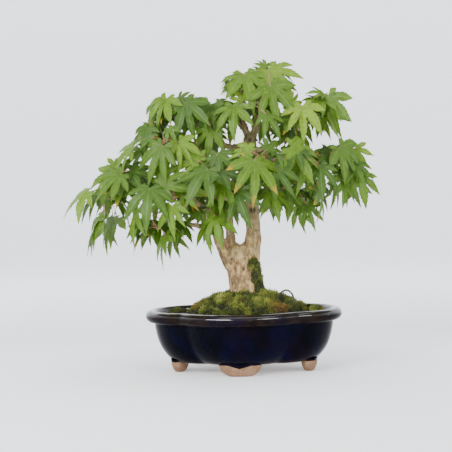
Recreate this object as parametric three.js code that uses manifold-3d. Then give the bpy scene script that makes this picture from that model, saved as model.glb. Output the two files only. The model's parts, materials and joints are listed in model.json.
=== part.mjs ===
// A Japanese maple bonsai in a four-lobed glazed pot. Millimetres, +Z up, X along the pot's long side.
import * as THREE from 'three';
import { mergeVertices } from 'three/addons/utils/BufferGeometryUtils.js';
import Module from 'manifold-3d';

const wasm = await Module();
wasm.setup();

// ---------------------------------------------------------------- driving dimensions
const RIM_HALF = { a: 85, b: 65 }; // half length and half depth of the pot over its lip
const ARC_STEPS = 9; // points along each of the four lobes of the pot's outline
const FLOOR_TOP = 14; // height of the pot's inner floor
const BODY_BOTTOM = 9; // underside of the pot's body, where the feet begin
const HOLE = { x: 27, radius: 8 }; // drainage holes
const MESH_PLATE = { side: 24, thickness: 1.2, bars: 3 }; // drainage meshes
const SOIL_LEVEL = 48.5; // height of the soil beside the wall
const MOUND = { x: 4, rx: 52, ry: 40, rise: 17 }; // soil mound under the trunk
const MOSS_THICKNESS = 3.2;
const GAP = 0.3; // clearance between neighbouring pieces
const TREE_TURN = THREE.MathUtils.degToRad(6.6); // the tree is turned this much in its pot
const LEAF_THICKNESS = 0.6;
const LEAF_DROOP = 0.12; // how far a lobe's tip hangs under the blade's plane, in lobe lengths
const STALK_RADIUS = 0.5;
const TWIG = { start: 1.1, end: 0.8, sides: 4, steps: 3 };
const HUB_BUD = 1.6; // radius of the bud where a twig's leaf stalks meet

// the pot's section from the underside, up the wall, over the lip and down inside: [half length, height]
const POT_SECTION = [
  [56.5, BODY_BOTTOM], [61.5, 10.3], [67, 14.7], [72.3, 22.4], [75.6, 31.5], [77.5, 43.4], [81.6, 44],
  [84.5, 46.4], [84.9, 50], [82.6, 53], [79, 53.6], [75.8, 51.6], [73.6, 43], [70.8, 31.5], [66.4, 22.4],
  [61, 16.2], [56, FLOOR_TOP],
];
const FOOT_SECTION = [[18.5, 7.4, 11.5], [17.5, 7, 7.6], [14.2, 5.7, 2.6], [9.8, 4.1, 0.4], [8.4, 3.6, 0]];

// ---------------------------------------------------------------- materials
const finish = (color, roughness) => new THREE.MeshStandardMaterial({ color, roughness, metalness: 0 });
const GLAZE = finish(0x0c1030, 0.12);
const SOIL = finish(0x2b2119, 0.95);
const MOSS = finish(0x5d6a22, 0.95);
const BARK = finish(0xa08a66, 0.85);
const LEAF = finish(0x6f9a3e, 0.5);
const LEAF_PALE = finish(0x9bbf62, 0.5);
const MESH_PLASTIC = finish(0x202020, 0.6);
const WIRE = finish(0x6b5a48, 0.5);

// ---------------------------------------------------------------- mesh helpers
const vec = (point) => new THREE.Vector3(...point);

function solidOf(geometry) {
  const bare = geometry.clone();
  bare.deleteAttribute('normal');
  bare.deleteAttribute('uv');
  const merged = mergeVertices(bare, 1e-4);
  return new wasm.Manifold(new wasm.Mesh({
    numProp: 3,
    vertProperties: new Float32Array(merged.attributes.position.array),
    triVerts: new Uint32Array(merged.index.array),
  }));
}

function geometryOf(solid) {
  const mesh = solid.getMesh();
  const geometry = new THREE.BufferGeometry();
  geometry.setAttribute('position', new THREE.BufferAttribute(mesh.vertProperties, 3));
  geometry.setIndex(new THREE.BufferAttribute(mesh.triVerts, 1));
  geometry.computeVertexNormals();
  return geometry;
}

// closed skin through rings of equally many points, each ring anticlockwise seen from the last one
function loft(rings) {
  const count = rings[0].length;
  const positions = rings.flat().flatMap((point) => point.toArray());
  const index = [];
  for (let ring = 0; ring + 1 < rings.length; ring += 1) {
    for (let i = 0; i < count; i += 1) {
      const here = ring * count + i;
      const next = ring * count + ((i + 1) % count);
      index.push(here, next, next + count, here, next + count, here + count);
    }
  }
  for (const [ring, flip] of [[0, true], [rings.length - 1, false]]) {
    const centre = new THREE.Vector3();
    rings[ring].forEach((point) => centre.addScaledVector(point, 1 / count));
    positions.push(...centre.toArray());
    const hub = positions.length / 3 - 1;
    for (let i = 0; i < count; i += 1) {
      const here = ring * count + i;
      const next = ring * count + ((i + 1) % count);
      index.push(...(flip ? [next, here, hub] : [here, next, hub]));
    }
  }
  const geometry = new THREE.BufferGeometry();
  geometry.setAttribute('position', new THREE.Float32BufferAttribute(positions, 3));
  geometry.setIndex(index);
  return geometry;
}

// tapered limb along a smooth curve; each point is [x, y, z, radius]
function limb(points, steps, sides, grow = 0) {
  const curve = new THREE.CatmullRomCurve3(points.map(([x, y, z]) => new THREE.Vector3(x, y, z)));
  const frames = curve.computeFrenetFrames(steps);
  const rings = [];
  for (let step = 0; step <= steps; step += 1) {
    const along = (step / steps) * (points.length - 1);
    const low = Math.min(Math.floor(along), points.length - 2);
    const radius = THREE.MathUtils.lerp(points[low][3], points[low + 1][3], along - low) + grow;
    const centre = curve.getPoint(step / steps);
    rings.push(Array.from({ length: sides }, (_, side) => {
      const angle = (side / sides) * 2 * Math.PI;
      return centre.clone()
        .addScaledVector(frames.normals[step], Math.cos(angle) * radius)
        .addScaledVector(frames.binormals[step], Math.sin(angle) * radius);
    }));
  }
  return solidOf(loft(rings));
}

const join = (solids) => solids.reduce((whole, solid) => whole.add(solid));

function largestBody(solid) {
  return solid.decompose().reduce((best, body) => (body.volume() > best.volume() ? body : best));
}

// ---------------------------------------------------------------- pot
// points of an arc from start to end that bulges outwards by the given height, without its end point
function arcPoints(start, end, bulge) {
  const chord = end.clone().sub(start);
  const half = chord.length() / 2;
  const radius = (half * half + bulge * bulge) / (2 * bulge);
  const outward = new THREE.Vector2(chord.y, -chord.x).normalize();
  const centre = start.clone().add(end).multiplyScalar(0.5).addScaledVector(outward, bulge - radius);
  const from = start.clone().sub(centre);
  let sweep = 2 * Math.asin(Math.min(1, half / radius));
  if (bulge > half) sweep = 2 * Math.PI - sweep;
  return Array.from({ length: ARC_STEPS }, (_, i) => from.clone()
    .rotateAround(new THREE.Vector2(), (sweep * i) / ARC_STEPS).add(centre));
}

// four-lobed outline with its half length along X; the half depth follows the same wall
function lobedRing(halfLength, z) {
  const inset = RIM_HALF.a - halfLength;
  const halfDepth = RIM_HALF.b - inset;
  const notch = new THREE.Vector2(50 - 0.8 * inset, 44 - 0.68 * inset);
  const corner = (sx, sy) => new THREE.Vector2(sx * notch.x, sy * notch.y);
  const outline = [
    ...arcPoints(corner(-1, -1), corner(1, -1), halfDepth - notch.y),
    ...arcPoints(corner(1, -1), corner(1, 1), halfLength - notch.x),
    ...arcPoints(corner(1, 1), corner(-1, 1), halfDepth - notch.y),
    ...arcPoints(corner(-1, 1), corner(-1, -1), halfLength - notch.x),
  ];
  return outline.map((point) => new THREE.Vector3(point.x, point.y, z));
}

function ellipseRing(cx, rx, ry, z, like) {
  return like.map((point) => {
    const angle = Math.atan2(point.y / RIM_HALF.b, point.x / RIM_HALF.a);
    return new THREE.Vector3(cx + rx * Math.cos(angle), ry * Math.sin(angle), z);
  });
}

function foot(x, y, turn) {
  const rings = FOOT_SECTION.map(([halfLength, halfWidth, z]) => Array.from({ length: 14 }, (_, i) => {
    const angle = (i / 14) * 2 * Math.PI;
    const round = (value) => Math.sign(value) * Math.abs(value) ** 0.7;
    return new THREE.Vector3(halfLength * round(Math.cos(angle)), halfWidth * round(Math.sin(angle)), z);
  })).reverse();
  return solidOf(loft(rings).rotateZ(turn).translate(x, y, 0));
}

function potSolid() {
  const feet = [
    foot(0, -35, 0), foot(0, 35, 0), foot(-56, 0, Math.PI / 2), foot(56, 0, Math.PI / 2),
  ];
  const holes = [-1, 1].map((side) => solidOf(new THREE.CylinderGeometry(HOLE.radius, HOLE.radius, 12, 24)
    .rotateX(Math.PI / 2).translate(side * HOLE.x, 0, (BODY_BOTTOM + FLOOR_TOP) / 2)));
  const bowl = solidOf(loft(POT_SECTION.map(([halfLength, z]) => lobedRing(halfLength, z))));
  return join([bowl, ...feet]).subtract(join(holes));
}

function drainageMesh(side) {
  const { side: width, thickness, bars } = MESH_PLATE;
  const pitch = width / (bars + 0.5);
  const holes = [];
  for (let row = 0; row < bars; row += 1) {
    for (let column = 0; column < bars; column += 1) {
      holes.push(solidOf(new THREE.BoxGeometry(pitch * 0.64, pitch * 0.64, 2 * thickness).translate(
        (column - (bars - 1) / 2) * pitch, (row - (bars - 1) / 2) * pitch, 0,
      )));
    }
  }
  const plate = solidOf(new THREE.BoxGeometry(width, width, thickness)).subtract(join(holes));
  return geometryOf(plate).translate(side * HOLE.x, 0, FLOOR_TOP + GAP + thickness / 2);
}

// ---------------------------------------------------------------- soil and moss
// mound over the soil level as rings from its foot to near its top, raised by lift
function moundRings(like, spread, lift) {
  return [1, 0.78, 0.55, 0.3].map((share) => {
    const height = MOUND.rise * (1 - share * share * (1.6 - 0.6 * share));
    return ellipseRing(MOUND.x, (MOUND.rx + spread) * share, (MOUND.ry + spread) * share,
      SOIL_LEVEL + height + lift, like);
  });
}

function soilSolid() {
  const inner = [[55.4, FLOOR_TOP + GAP], [65.9, 22.4], [70.3, 31.5], [73.1, 43], [74.6, SOIL_LEVEL]]
    .map(([halfLength, z]) => lobedRing(halfLength - GAP, z));
  const pockets = [-1, 1].map((side) => solidOf(new THREE.BoxGeometry(
    MESH_PLATE.side + 2 * GAP, MESH_PLATE.side + 2 * GAP, 2 * (MESH_PLATE.thickness + 2 * GAP),
  ).translate(side * HOLE.x, 0, FLOOR_TOP)));
  return solidOf(loft([...inner, ...moundRings(inner[0], 0, 0)])).subtract(join(pockets));
}

// the soil's mound with a gap over it
function moundRoom() {
  const like = lobedRing(RIM_HALF.a, 0);
  const below = ellipseRing(MOUND.x, MOUND.rx + GAP, MOUND.ry + GAP, SOIL_LEVEL - 8, like);
  return solidOf(loft([below, ...moundRings(like, GAP, GAP)]));
}

function mossMoundSolid() {
  const like = lobedRing(RIM_HALF.a, 0);
  const base = ellipseRing(MOUND.x, MOUND.rx - 2, MOUND.ry - 2, SOIL_LEVEL - 4, like);
  return solidOf(loft([base, ...moundRings(like, -2, MOSS_THICKNESS)])).subtract(moundRoom());
}

function mossPatch(x, y, rx, ry, height) {
  const rings = [[1, 0], [0.86, 0.45], [0.6, 0.8], [0.28, 1]].map(([share, rise]) => Array.from(
    { length: 14 },
    (_, i) => {
      const angle = (i / 14) * 2 * Math.PI;
      const uneven = 1 + 0.1 * Math.sin(3 * angle + x);
      return new THREE.Vector3(
        x + rx * share * uneven * Math.cos(angle),
        y + ry * share * uneven * Math.sin(angle),
        SOIL_LEVEL + GAP + height * rise,
      );
    },
  ));
  return solidOf(loft(rings)).subtract(moundRoom());
}

// ---------------------------------------------------------------- wood, in the tree's own frame
// trunk base: [centre x, centre y, half width, half depth, height]
const TRUNK_BASE = [
  [4, 0, 22, 18, 57], [4.2, 0, 18.4, 15.6, 62], [4.2, 0, 15.7, 13.4, 69], [3, 0, 14.4, 12.4, 77],
  [2, 0, 14.6, 12, 85], [0, 0, 15.4, 11.6, 93], [-0.6, 0, 15, 10.6, 100], [-0.8, 0, 13.2, 9.4, 105],
  [-1, 0, 8.6, 6.4, 108.5],
];
const STEMS = {
  left: [[-9, 0, 90, 6.5], [-15.5, -1, 103, 5.4], [-21, -2, 118, 4.3], [-29, -5, 137, 3.5], [-42, -7, 148, 3]],
  middle: [[-5, 1, 94, 5.4], [-8.4, 1, 106, 4.1], [-9.6, 0, 120, 3.8], [-12, 2, 143, 3.4],
    [-22, 4, 172, 3], [-36, 4, 196, 2.6]],
  right: [[6, 0, 92, 8.6], [9.2, 0, 106, 7.6], [10.4, 0, 120, 6.6], [9.8, 0, 140, 6],
    [11, 1, 168, 5.1], [10.6, 0, 192, 4.8], [9.6, 0, 203, 4.6]],
};
const BRANCHES = {
  leader_left: [[9, 0, 200, 3.2], [3, -2, 216, 2.5], [4, -4, 235, 2], [7, -8, 252, 1.5]],
  leader_right: [[11, 1, 200, 3.4], [16.4, 1, 213, 2.7], [20, 0, 236, 2.1], [24, -1, 251, 1.5]],
  branch_upper_left: [[8, 1, 195, 2.8], [-8, 1, 193, 2.4], [-25, 0, 203, 2], [-44, -4, 222, 1.6],
    [-56, -8, 233, 1.3]],
  branch_upper_right: [[12, 0, 188, 3], [31, -2, 194, 2.4], [46, -4, 203, 2], [64, -5, 219, 1.6],
    [76, -6, 233, 1.3]],
  branch_right: [[12, 0, 172, 3], [34, -4, 179, 2.4], [60, -8, 184, 2], [82, -12, 181, 1.6],
    [100, -12, 172, 1.3]],
  branch_right_low: [[11, 0, 148, 2.6], [25, -6, 152, 2], [45, -10, 152, 1.5]],
  branch_far_left: [[-40, -7, 147, 2.7], [-64, -10, 156, 2.2], [-92, -12, 162, 1.8], [-116, -12, 154, 1.3]],
  branch_low_left: [[-21, -3, 121, 2.2], [-42, -8, 127, 1.8], [-66, -12, 128, 1.5], [-85, -14, 127, 1.1]],
  branch_shoulder_left: [[-35, 4, 194, 2.4], [-56, 0, 203, 2], [-78, -4, 210, 1.4]],
  branch_front: [[-12, -1, 148, 2.2], [-14, -22, 160, 1.8], [-14, -44, 166, 1.3]],
  branch_front_right: [[12, -2, 166, 2.4], [22, -24, 176, 1.9], [34, -44, 182, 1.3]],
  branch_back: [[-11, 5, 146, 2.2], [-14, 24, 160, 1.8], [-14, 46, 166, 1.3]],
  branch_back_right: [[12, 4, 164, 2.4], [22, 24, 176, 1.9], [32, 46, 182, 1.3]],
};

function trunkSolid(grow) {
  const rings = TRUNK_BASE.map(([cx, cy, rx, ry, z]) => Array.from({ length: 16 }, (_, i) => {
    const angle = (i / 16) * 2 * Math.PI;
    const flare = 1 + 0.07 * Math.sin(5 * angle + 1) * THREE.MathUtils.clamp((78 - z) / 15, 0, 1);
    return new THREE.Vector3(
      cx + (rx * flare + grow) * Math.cos(angle),
      cy + (ry * flare + grow) * Math.sin(angle),
      z,
    );
  }));
  rings[0].forEach((point) => point.setZ(point.z - grow));
  rings.at(-1).forEach((point) => point.setZ(point.z + grow));
  return join([
    solidOf(loft(rings)),
    limb(STEMS.left, 8, 7, grow),
    limb(STEMS.middle, 10, 7, grow),
    limb(STEMS.right, 10, 9, grow),
  ]);
}

// strip of moss that climbs the front of the trunk on its right
const MOSS_STRIP = [[19.5, -11, 66, 6], [16.5, -9.5, 73, 5.4], [14, -8.6, 81, 5], [11.5, -8.4, 88, 4.6],
  [10, -7.5, 93, 3]];
// arched loop of anchor wire that stands out of the soil
const WIRE_LOOP = [[29, -14, 60.6, 0.7], [31, -15, 66, 0.7], [36, -16, 69.5, 0.7], [41, -17, 67, 0.7],
  [45, -18, 57.6, 0.7]];

// ---------------------------------------------------------------- foliage, in the tree's own frame
// Each spray is a twig that ends just past its hub, with leaves on stalks from there. A leaf is [x, y, z of the
// blade's base, heading of its middle lobe in degrees (0 right, 90 up), lobe length, and the turn about that
// lobe in degrees if it has one]. Each leaf of the front of the crown has a twin at the back: on the same
// twig where the spray goes all around it, and otherwise in a spray of its own.
const SPRAYS = [
  { name: 'crown_left', around: true, hub: [7, -12, 254], leaves: [
    [6, -22, 253, -84, 33], [3, -15, 250, -155, 17], [12, -18, 250, -20, 19]] },
  { name: 'crown_top', around: true, hub: [25, -6, 257], leaves: [
    [27, -14, 257, -62, 33], [24, -12, 259, 120, 13], [27, -30, 242, -77, 35]] },
  { name: 'crown_right', hub: [46, -22, 226], pale: true, leaves: [
    [53, -34, 224, -88, 32], [44, -30, 216, -120, 20], [44, -18, 227, 50, 15, 30]] },
  { name: 'crown_inner', hub: [8, -24, 226], leaves: [
    [-4, -32, 226, -84, 28], [22, -42, 218, -65, 22], [4, -30, 230, 120, 14]] },
  { name: 'crown_inner_left', around: true, hub: [-22, -14, 226], leaves: [
    [-23, -22, 228, -108, 36], [-18, -16, 230, -40, 22], [-24, -26, 208, -95, 24]] },
  { name: 'shoulder_right', around: true, hub: [78, -10, 232], pale: true, leaves: [
    [76, -16, 233, -84, 34, 40], [72, -8, 222, -60, 22], [72, -13, 235, 172, 15, 30]] },
  { name: 'far_right_upper', hub: [82, -24, 187], leaves: [
    [83, -34, 189, -52, 32], [98, -16, 188, -62, 18, 30], [76, -28, 184, -150, 20]] },
  { name: 'far_right', hub: [100, -18, 170], leaves: [
    [100, -26, 166, -86, 26, 25], [85, -30, 162, -90, 24, -40], [98, -23, 174, -30, 14]] },
  { name: 'middle_right', hub: [50, -46, 186], leaves: [
    [41, -60, 189, -22, 36], [65, -48, 174, -88, 28], [65, -42, 152, -96, 24, -50],
    [54, -50, 178, -110, 28]] },
  { name: 'centre', hub: [16, -58, 182], leaves: [
    [11, -70, 179, -97, 36], [27, -66, 173, -60, 28], [8, -60, 186, 150, 22], [22, -60, 187, 50, 18]] },
  { name: 'low_right', hub: [44, -32, 154], leaves: [
    [55, -40, 142, -95, 23, 40], [41, -38, 153, -95, 24], [25, -46, 153, -72, 24, -20],
    [62, -30, 158, -50, 22]] },
  { name: 'low_centre', hub: [-8, -52, 160], leaves: [
    [-3, -60, 154, -80, 28, 35], [-15, -62, 162, -95, 26], [2, -50, 166, -30, 24]] },
  { name: 'inner_left', hub: [-26, -52, 172], leaves: [
    [-27, -64, 173, -115, 32], [-34, -54, 180, 140, 24], [-18, -52, 186, -75, 26]] },
  { name: 'low_inner_left', hub: [-24, -42, 138], pale: true, leaves: [
    [-22, -52, 135, -70, 26], [-27, -44, 130, -105, 24, 45], [-32, -46, 140, 175, 22, 30]] },
  { name: 'middle_left', hub: [-58, -52, 152], leaves: [
    [-56, -66, 144, -85, 25], [-74, -62, 159, -95, 32], [-66, -56, 162, 20, 30],
    [-50, -52, 158, -20, 26, 30]] },
  { name: 'low_left', hub: [-70, -38, 126], leaves: [
    [-63, -50, 120, -98, 25, 35], [-81, -38, 124, -125, 20, 45], [-85, -44, 142, -108, 26, 50]] },
  { name: 'upper_left', hub: [-62, -42, 197], leaves: [
    [-63, -54, 193, -120, 32], [-58, -48, 208, -60, 14], [-50, -50, 196, -60, 26],
    [-72, -44, 200, 165, 22, 30]] },
  { name: 'top_left', hub: [-52, -20, 230], leaves: [
    [-44, -32, 230, -75, 32], [-60, -26, 234, -100, 28], [-70, -18, 231, -92, 23, 45],
    [-50, -22, 232, 0, 16]] },
  { name: 'shoulder_left', around: true, hub: [-76, -18, 206], leaves: [
    [-76, -28, 210, -105, 25, 30], [-88, -36, 194, -156, 27, 20], [-73, -23, 211, 110, 13]] },
  { name: 'star_left', hub: [-96, -32, 172], leaves: [
    [-98, -44, 171, -142, 29, 10], [-104, -26, 178, 168, 20], [-92, -36, 174, -30, 26],
    [-106, -24, 171, 176, 26, 15]] },
  { name: 'far_left', hub: [-116, -20, 148], pale: true, leaves: [
    [-128, -24, 158, -148, 30, 25], [-113, -36, 136, -146, 32, 30], [-116, -24, 136, -116, 32, 50]] },
];

const WOBBLE = THREE.MathUtils.degToRad(137.5); // turn between one leaf's lean and the next one's

// blade outline with its middle lobe along +Y and its stalk's place at the origin
function bladeShape(length, grow) {
  const lobes = [[-88, 0.62], [-64, 0.27], [-42, 0.9], [-20, 0.36], [0, 1], [20, 0.36], [42, 0.9], [64, 0.27],
    [88, 0.62]];
  const foot = STALK_RADIUS + grow;
  const points = lobes.map(([degrees, reach]) => {
    const angle = THREE.MathUtils.degToRad(degrees);
    const radius = reach * length + grow;
    return new THREE.Vector2(Math.sin(angle) * radius, Math.cos(angle) * radius);
  });
  return new THREE.Shape([...points, new THREE.Vector2(foot, -foot), new THREE.Vector2(-foot, -foot)].reverse());
}

function leafSolid([x, y, z, heading, length, roll = 0], hub, order, grow) {
  const base = new THREE.Vector3(x, y, z);
  const out = Math.sign(y);
  const angle = THREE.MathUtils.degToRad(heading);
  const normal = new THREE.Vector3(
    0.004 * x + 0.25 * Math.sin(order * WOBBLE), 0.85 * out, 0.5 + 0.2 * Math.cos(order * WOBBLE),
  ).normalize();
  const middle = new THREE.Vector3(Math.cos(angle), 0, Math.sin(angle)).projectOnPlane(normal).normalize();
  normal.applyAxisAngle(middle, THREE.MathUtils.degToRad(-out * roll));
  const side = new THREE.Vector3().crossVectors(middle, normal);
  const place = new THREE.Matrix4().makeBasis(side, middle, normal).setPosition(base);
  const thickness = LEAF_THICKNESS + 2 * grow;
  const geometry = new THREE.ExtrudeGeometry(bladeShape(length, grow), { depth: thickness, bevelEnabled: false })
    .translate(0, 0, -thickness / 2);
  const position = geometry.attributes.position;
  const point = new THREE.Vector3();
  for (let i = 0; i < position.count; i += 1) {
    point.fromBufferAttribute(position, i);
    point.z -= (LEAF_DROOP * (point.x ** 2 + point.y ** 2)) / length;
    point.applyMatrix4(place);
    position.setXYZ(i, point.x, point.y, point.z);
  }
  const stalk = limb([[...hub.toArray(), STALK_RADIUS], [x, y, z, STALK_RADIUS]], 1, 3, grow);
  return solidOf(geometry).add(stalk);
}

// the point on the wood's centre lines nearest to a spray's hub
function nearestWood(hub) {
  let best = null;
  for (const points of [...Object.values(STEMS), ...Object.values(BRANCHES)]) {
    const curve = new THREE.CatmullRomCurve3(points.map(([x, y, z]) => new THREE.Vector3(x, y, z)));
    for (const spot of curve.getPoints(24)) {
      if (!best || spot.distanceTo(hub) < best.distanceTo(hub)) best = spot;
    }
  }
  return best;
}

function spraySolid(spray, order, grow) {
  const hub = vec(spray.hub);
  const root = nearestWood(hub);
  const bend = root.clone().lerp(hub, 0.5).add(new THREE.Vector3(0, 0, 0.08 * root.distanceTo(hub)));
  const twig = [
    [...root.toArray(), TWIG.start], [...bend.toArray(), TWIG.start], [...spray.hub, TWIG.end],
  ];
  const bud = new THREE.IcosahedronGeometry(HUB_BUD + grow, 0).translate(...spray.hub);
  return join([
    limb(twig, TWIG.steps, TWIG.sides, grow),
    solidOf(bud),
    ...spray.leaves.map((leaf, i) => leafSolid(leaf, hub, order * 5 + i, grow)),
  ]);
}

// the back of the crown repeats the front's leaves turned over in depth, a little smaller
const backLeaves = ({ leaves }) => leaves.map(([x, y, z, heading, length, roll = 0], i) => [
  x * 0.97, -y * 0.98, z - 2, heading + 14 * Math.cos(i + x), length * 0.96, roll,
]);

const fullSpray = (spray) => (spray.around
  ? { ...spray, leaves: [...spray.leaves, ...backLeaves(spray)] }
  : spray);

const backSpray = (spray) => ({
  ...spray,
  name: `${spray.name}_back`,
  hub: [spray.hub[0] * 0.98, -spray.hub[1], spray.hub[2] - 1],
  leaves: backLeaves(spray),
});

// ---------------------------------------------------------------- assembly
const group = new THREE.Group();

function addPiece(name, geometry, material) {
  const mesh = new THREE.Mesh(geometry, material);
  mesh.name = name;
  group.add(mesh);
}

const turned = (solid) => solidOf(geometryOf(solid).rotateZ(TREE_TURN));
const trunk = trunkSolid(0);
const trunkRoom = trunkSolid(GAP);
const mossStrip = limb(MOSS_STRIP, 6, 9).subtract(trunkRoom);
const wireLoop = limb(WIRE_LOOP, 12, 6);
const stripRoom = limb(MOSS_STRIP, 6, 9, GAP);
const wireRoom = limb(WIRE_LOOP, 12, 6, GAP);

addPiece('pot', geometryOf(potSolid()), GLAZE);
addPiece('drainage_mesh_left', drainageMesh(-1), MESH_PLASTIC);
addPiece('drainage_mesh_right', drainageMesh(1), MESH_PLASTIC);
addPiece('soil', geometryOf(soilSolid().subtract(turned(trunkRoom))), SOIL);
addPiece('moss_mound', geometryOf(largestBody(
  mossMoundSolid().subtract(turned(join([trunkRoom, stripRoom, wireRoom]))),
)), MOSS);
addPiece('moss_patch_right', geometryOf(mossPatch(62, 8, 6, 11, 4.5)), MOSS);
addPiece('moss_patch_left', geometryOf(mossPatch(-59, 12, 7.5, 11, 3.5)), MOSS);
addPiece('moss_on_trunk', geometryOf(turned(largestBody(mossStrip))), MOSS);
addPiece('anchor_wire', geometryOf(turned(wireLoop)), WIRE);
addPiece('trunk', geometryOf(turned(trunk)), BARK);

let taken = trunkRoom;
for (const [name, points] of Object.entries(BRANCHES)) {
  const steps = points.length * 2;
  addPiece(name, geometryOf(turned(largestBody(limb(points, steps, 5).subtract(taken)))), BARK);
  taken = taken.add(limb(points, steps, 5, GAP));
}
const sprays = [...SPRAYS.map(fullSpray), ...SPRAYS.filter(({ around }) => !around).map(backSpray)];
sprays.forEach((spray, order) => {
  const piece = largestBody(spraySolid(spray, order, 0).subtract(taken));
  addPiece(`spray_${spray.name}`, geometryOf(turned(piece)), spray.pale ? LEAF_PALE : LEAF);
  taken = taken.add(spraySolid(spray, order, GAP));
});

// the origin is the centre of the object's box, on the surface that its feet stand on
const box = new THREE.Box3().setFromObject(group);
group.position.set(-(box.min.x + box.max.x) / 2, -(box.min.y + box.max.y) / 2, -box.min.z);

export default group;
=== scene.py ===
"""A Japanese maple bonsai in a four-lobed glazed pot. Metres, +Z up; listed sizes are in millimetres."""
import json
import math
import random

import bpy
import numpy as np
from mathutils import Matrix, Quaternion, Vector, noise

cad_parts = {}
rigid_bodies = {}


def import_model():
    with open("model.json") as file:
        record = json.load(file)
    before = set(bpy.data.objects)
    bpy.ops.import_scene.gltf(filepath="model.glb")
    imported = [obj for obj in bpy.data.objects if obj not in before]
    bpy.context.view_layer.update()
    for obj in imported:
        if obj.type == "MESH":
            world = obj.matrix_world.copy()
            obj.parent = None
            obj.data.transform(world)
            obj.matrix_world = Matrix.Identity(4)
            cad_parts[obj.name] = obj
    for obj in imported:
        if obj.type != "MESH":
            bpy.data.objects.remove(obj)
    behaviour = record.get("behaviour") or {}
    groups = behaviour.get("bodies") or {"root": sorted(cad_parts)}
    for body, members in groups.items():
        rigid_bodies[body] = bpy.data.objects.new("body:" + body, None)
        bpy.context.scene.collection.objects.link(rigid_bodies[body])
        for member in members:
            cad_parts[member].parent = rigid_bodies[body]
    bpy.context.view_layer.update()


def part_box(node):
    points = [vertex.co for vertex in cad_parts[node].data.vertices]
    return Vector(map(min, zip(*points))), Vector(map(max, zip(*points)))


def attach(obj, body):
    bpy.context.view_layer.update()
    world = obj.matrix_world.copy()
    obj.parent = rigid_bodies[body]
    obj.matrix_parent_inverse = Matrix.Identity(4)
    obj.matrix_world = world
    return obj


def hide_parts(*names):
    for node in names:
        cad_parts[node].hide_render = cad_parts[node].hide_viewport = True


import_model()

MM = 0.001
pot_low, pot_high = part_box("pot")
POT = Vector(((pot_low.x + pot_high.x) / 2, (pot_low.y + pot_high.y) / 2, 0.0))  # middle of the pot's feet
TURN = math.radians(6.6)  # the tree is turned this much in its pot, and the camera goes round with it
RIM_HALF_LENGTH, RIM_HALF_DEPTH = 85.0, 65.0
BODY_BOTTOM, FLOOR_TOP = 9.0, 14.0
HOLE_X, HOLE_RADIUS = 27.0, 8.0  # the two drainage holes
SOIL_LEVEL = 48.5
GRAIN_COUNT = 2600
MOUND = dict(x=4.0, rx=52.0, ry=40.0, rise=17.0)
MOSS_REACH = (50.0, 38.0)  # half length and half depth of the moss cover on the mound
CLUMP_COUNT = 330
MOUND_TUFTS, STRIP_TUFTS, PATCH_TUFTS = 7200, 2600, 520
RUSTY_PATCH = dict(x=34.0, y=-26.0, radius=9.0)  # where the moss has dried

# pot section from the underside, up the wall, over the lip and down inside: half length, height
POT_SECTION = [
    (56.5, 9.0), (61.5, 10.3), (67.0, 14.7), (72.3, 22.4), (75.6, 31.5), (77.2, 39.5), (77.5, 43.2),
    (79.4, 43.7), (82.3, 44.1), (84.4, 46.2), (85.0, 48.8), (84.3, 51.4), (82.2, 53.2), (79.2, 53.6),
    (76.6, 52.6), (75.2, 49.8), (73.6, 43.0), (70.8, 31.5), (66.4, 22.4), (61.0, 16.2), (56.0, 14.0),
]
# foot section downwards: half length, half width, height
FOOT_SECTION = [(18.5, 7.4, 11.5), (17.7, 7.0, 8.0), (16.0, 6.4, 4.8), (13.4, 5.4, 2.2), (10.6, 4.4, 0.6),
                (8.4, 3.6, 0.0)]
FOOT_SIDES, FOOT_SQUARENESS = 56, 0.7
FEET = [(0, -35, 0), (0, 35, 180), (-56, 0, 270), (56, 0, 90)]  # x, y and turn in degrees

# wood in the tree's own frame: trunk base as centre x, centre y, half width, half depth, height
TRUNK_BASE = [
    (4, 0, 22, 18, 57), (4.2, 0, 18.4, 15.6, 62), (4.2, 0, 15.7, 13.4, 69), (3, 0, 14.4, 12.4, 77),
    (2, 0, 14.6, 12, 85), (0, 0, 15.4, 11.6, 93), (-0.6, 0, 15, 10.6, 100), (-0.8, 0, 13.2, 9.4, 105),
    (-1, 0, 8.6, 6.4, 108.5),
]
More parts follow.
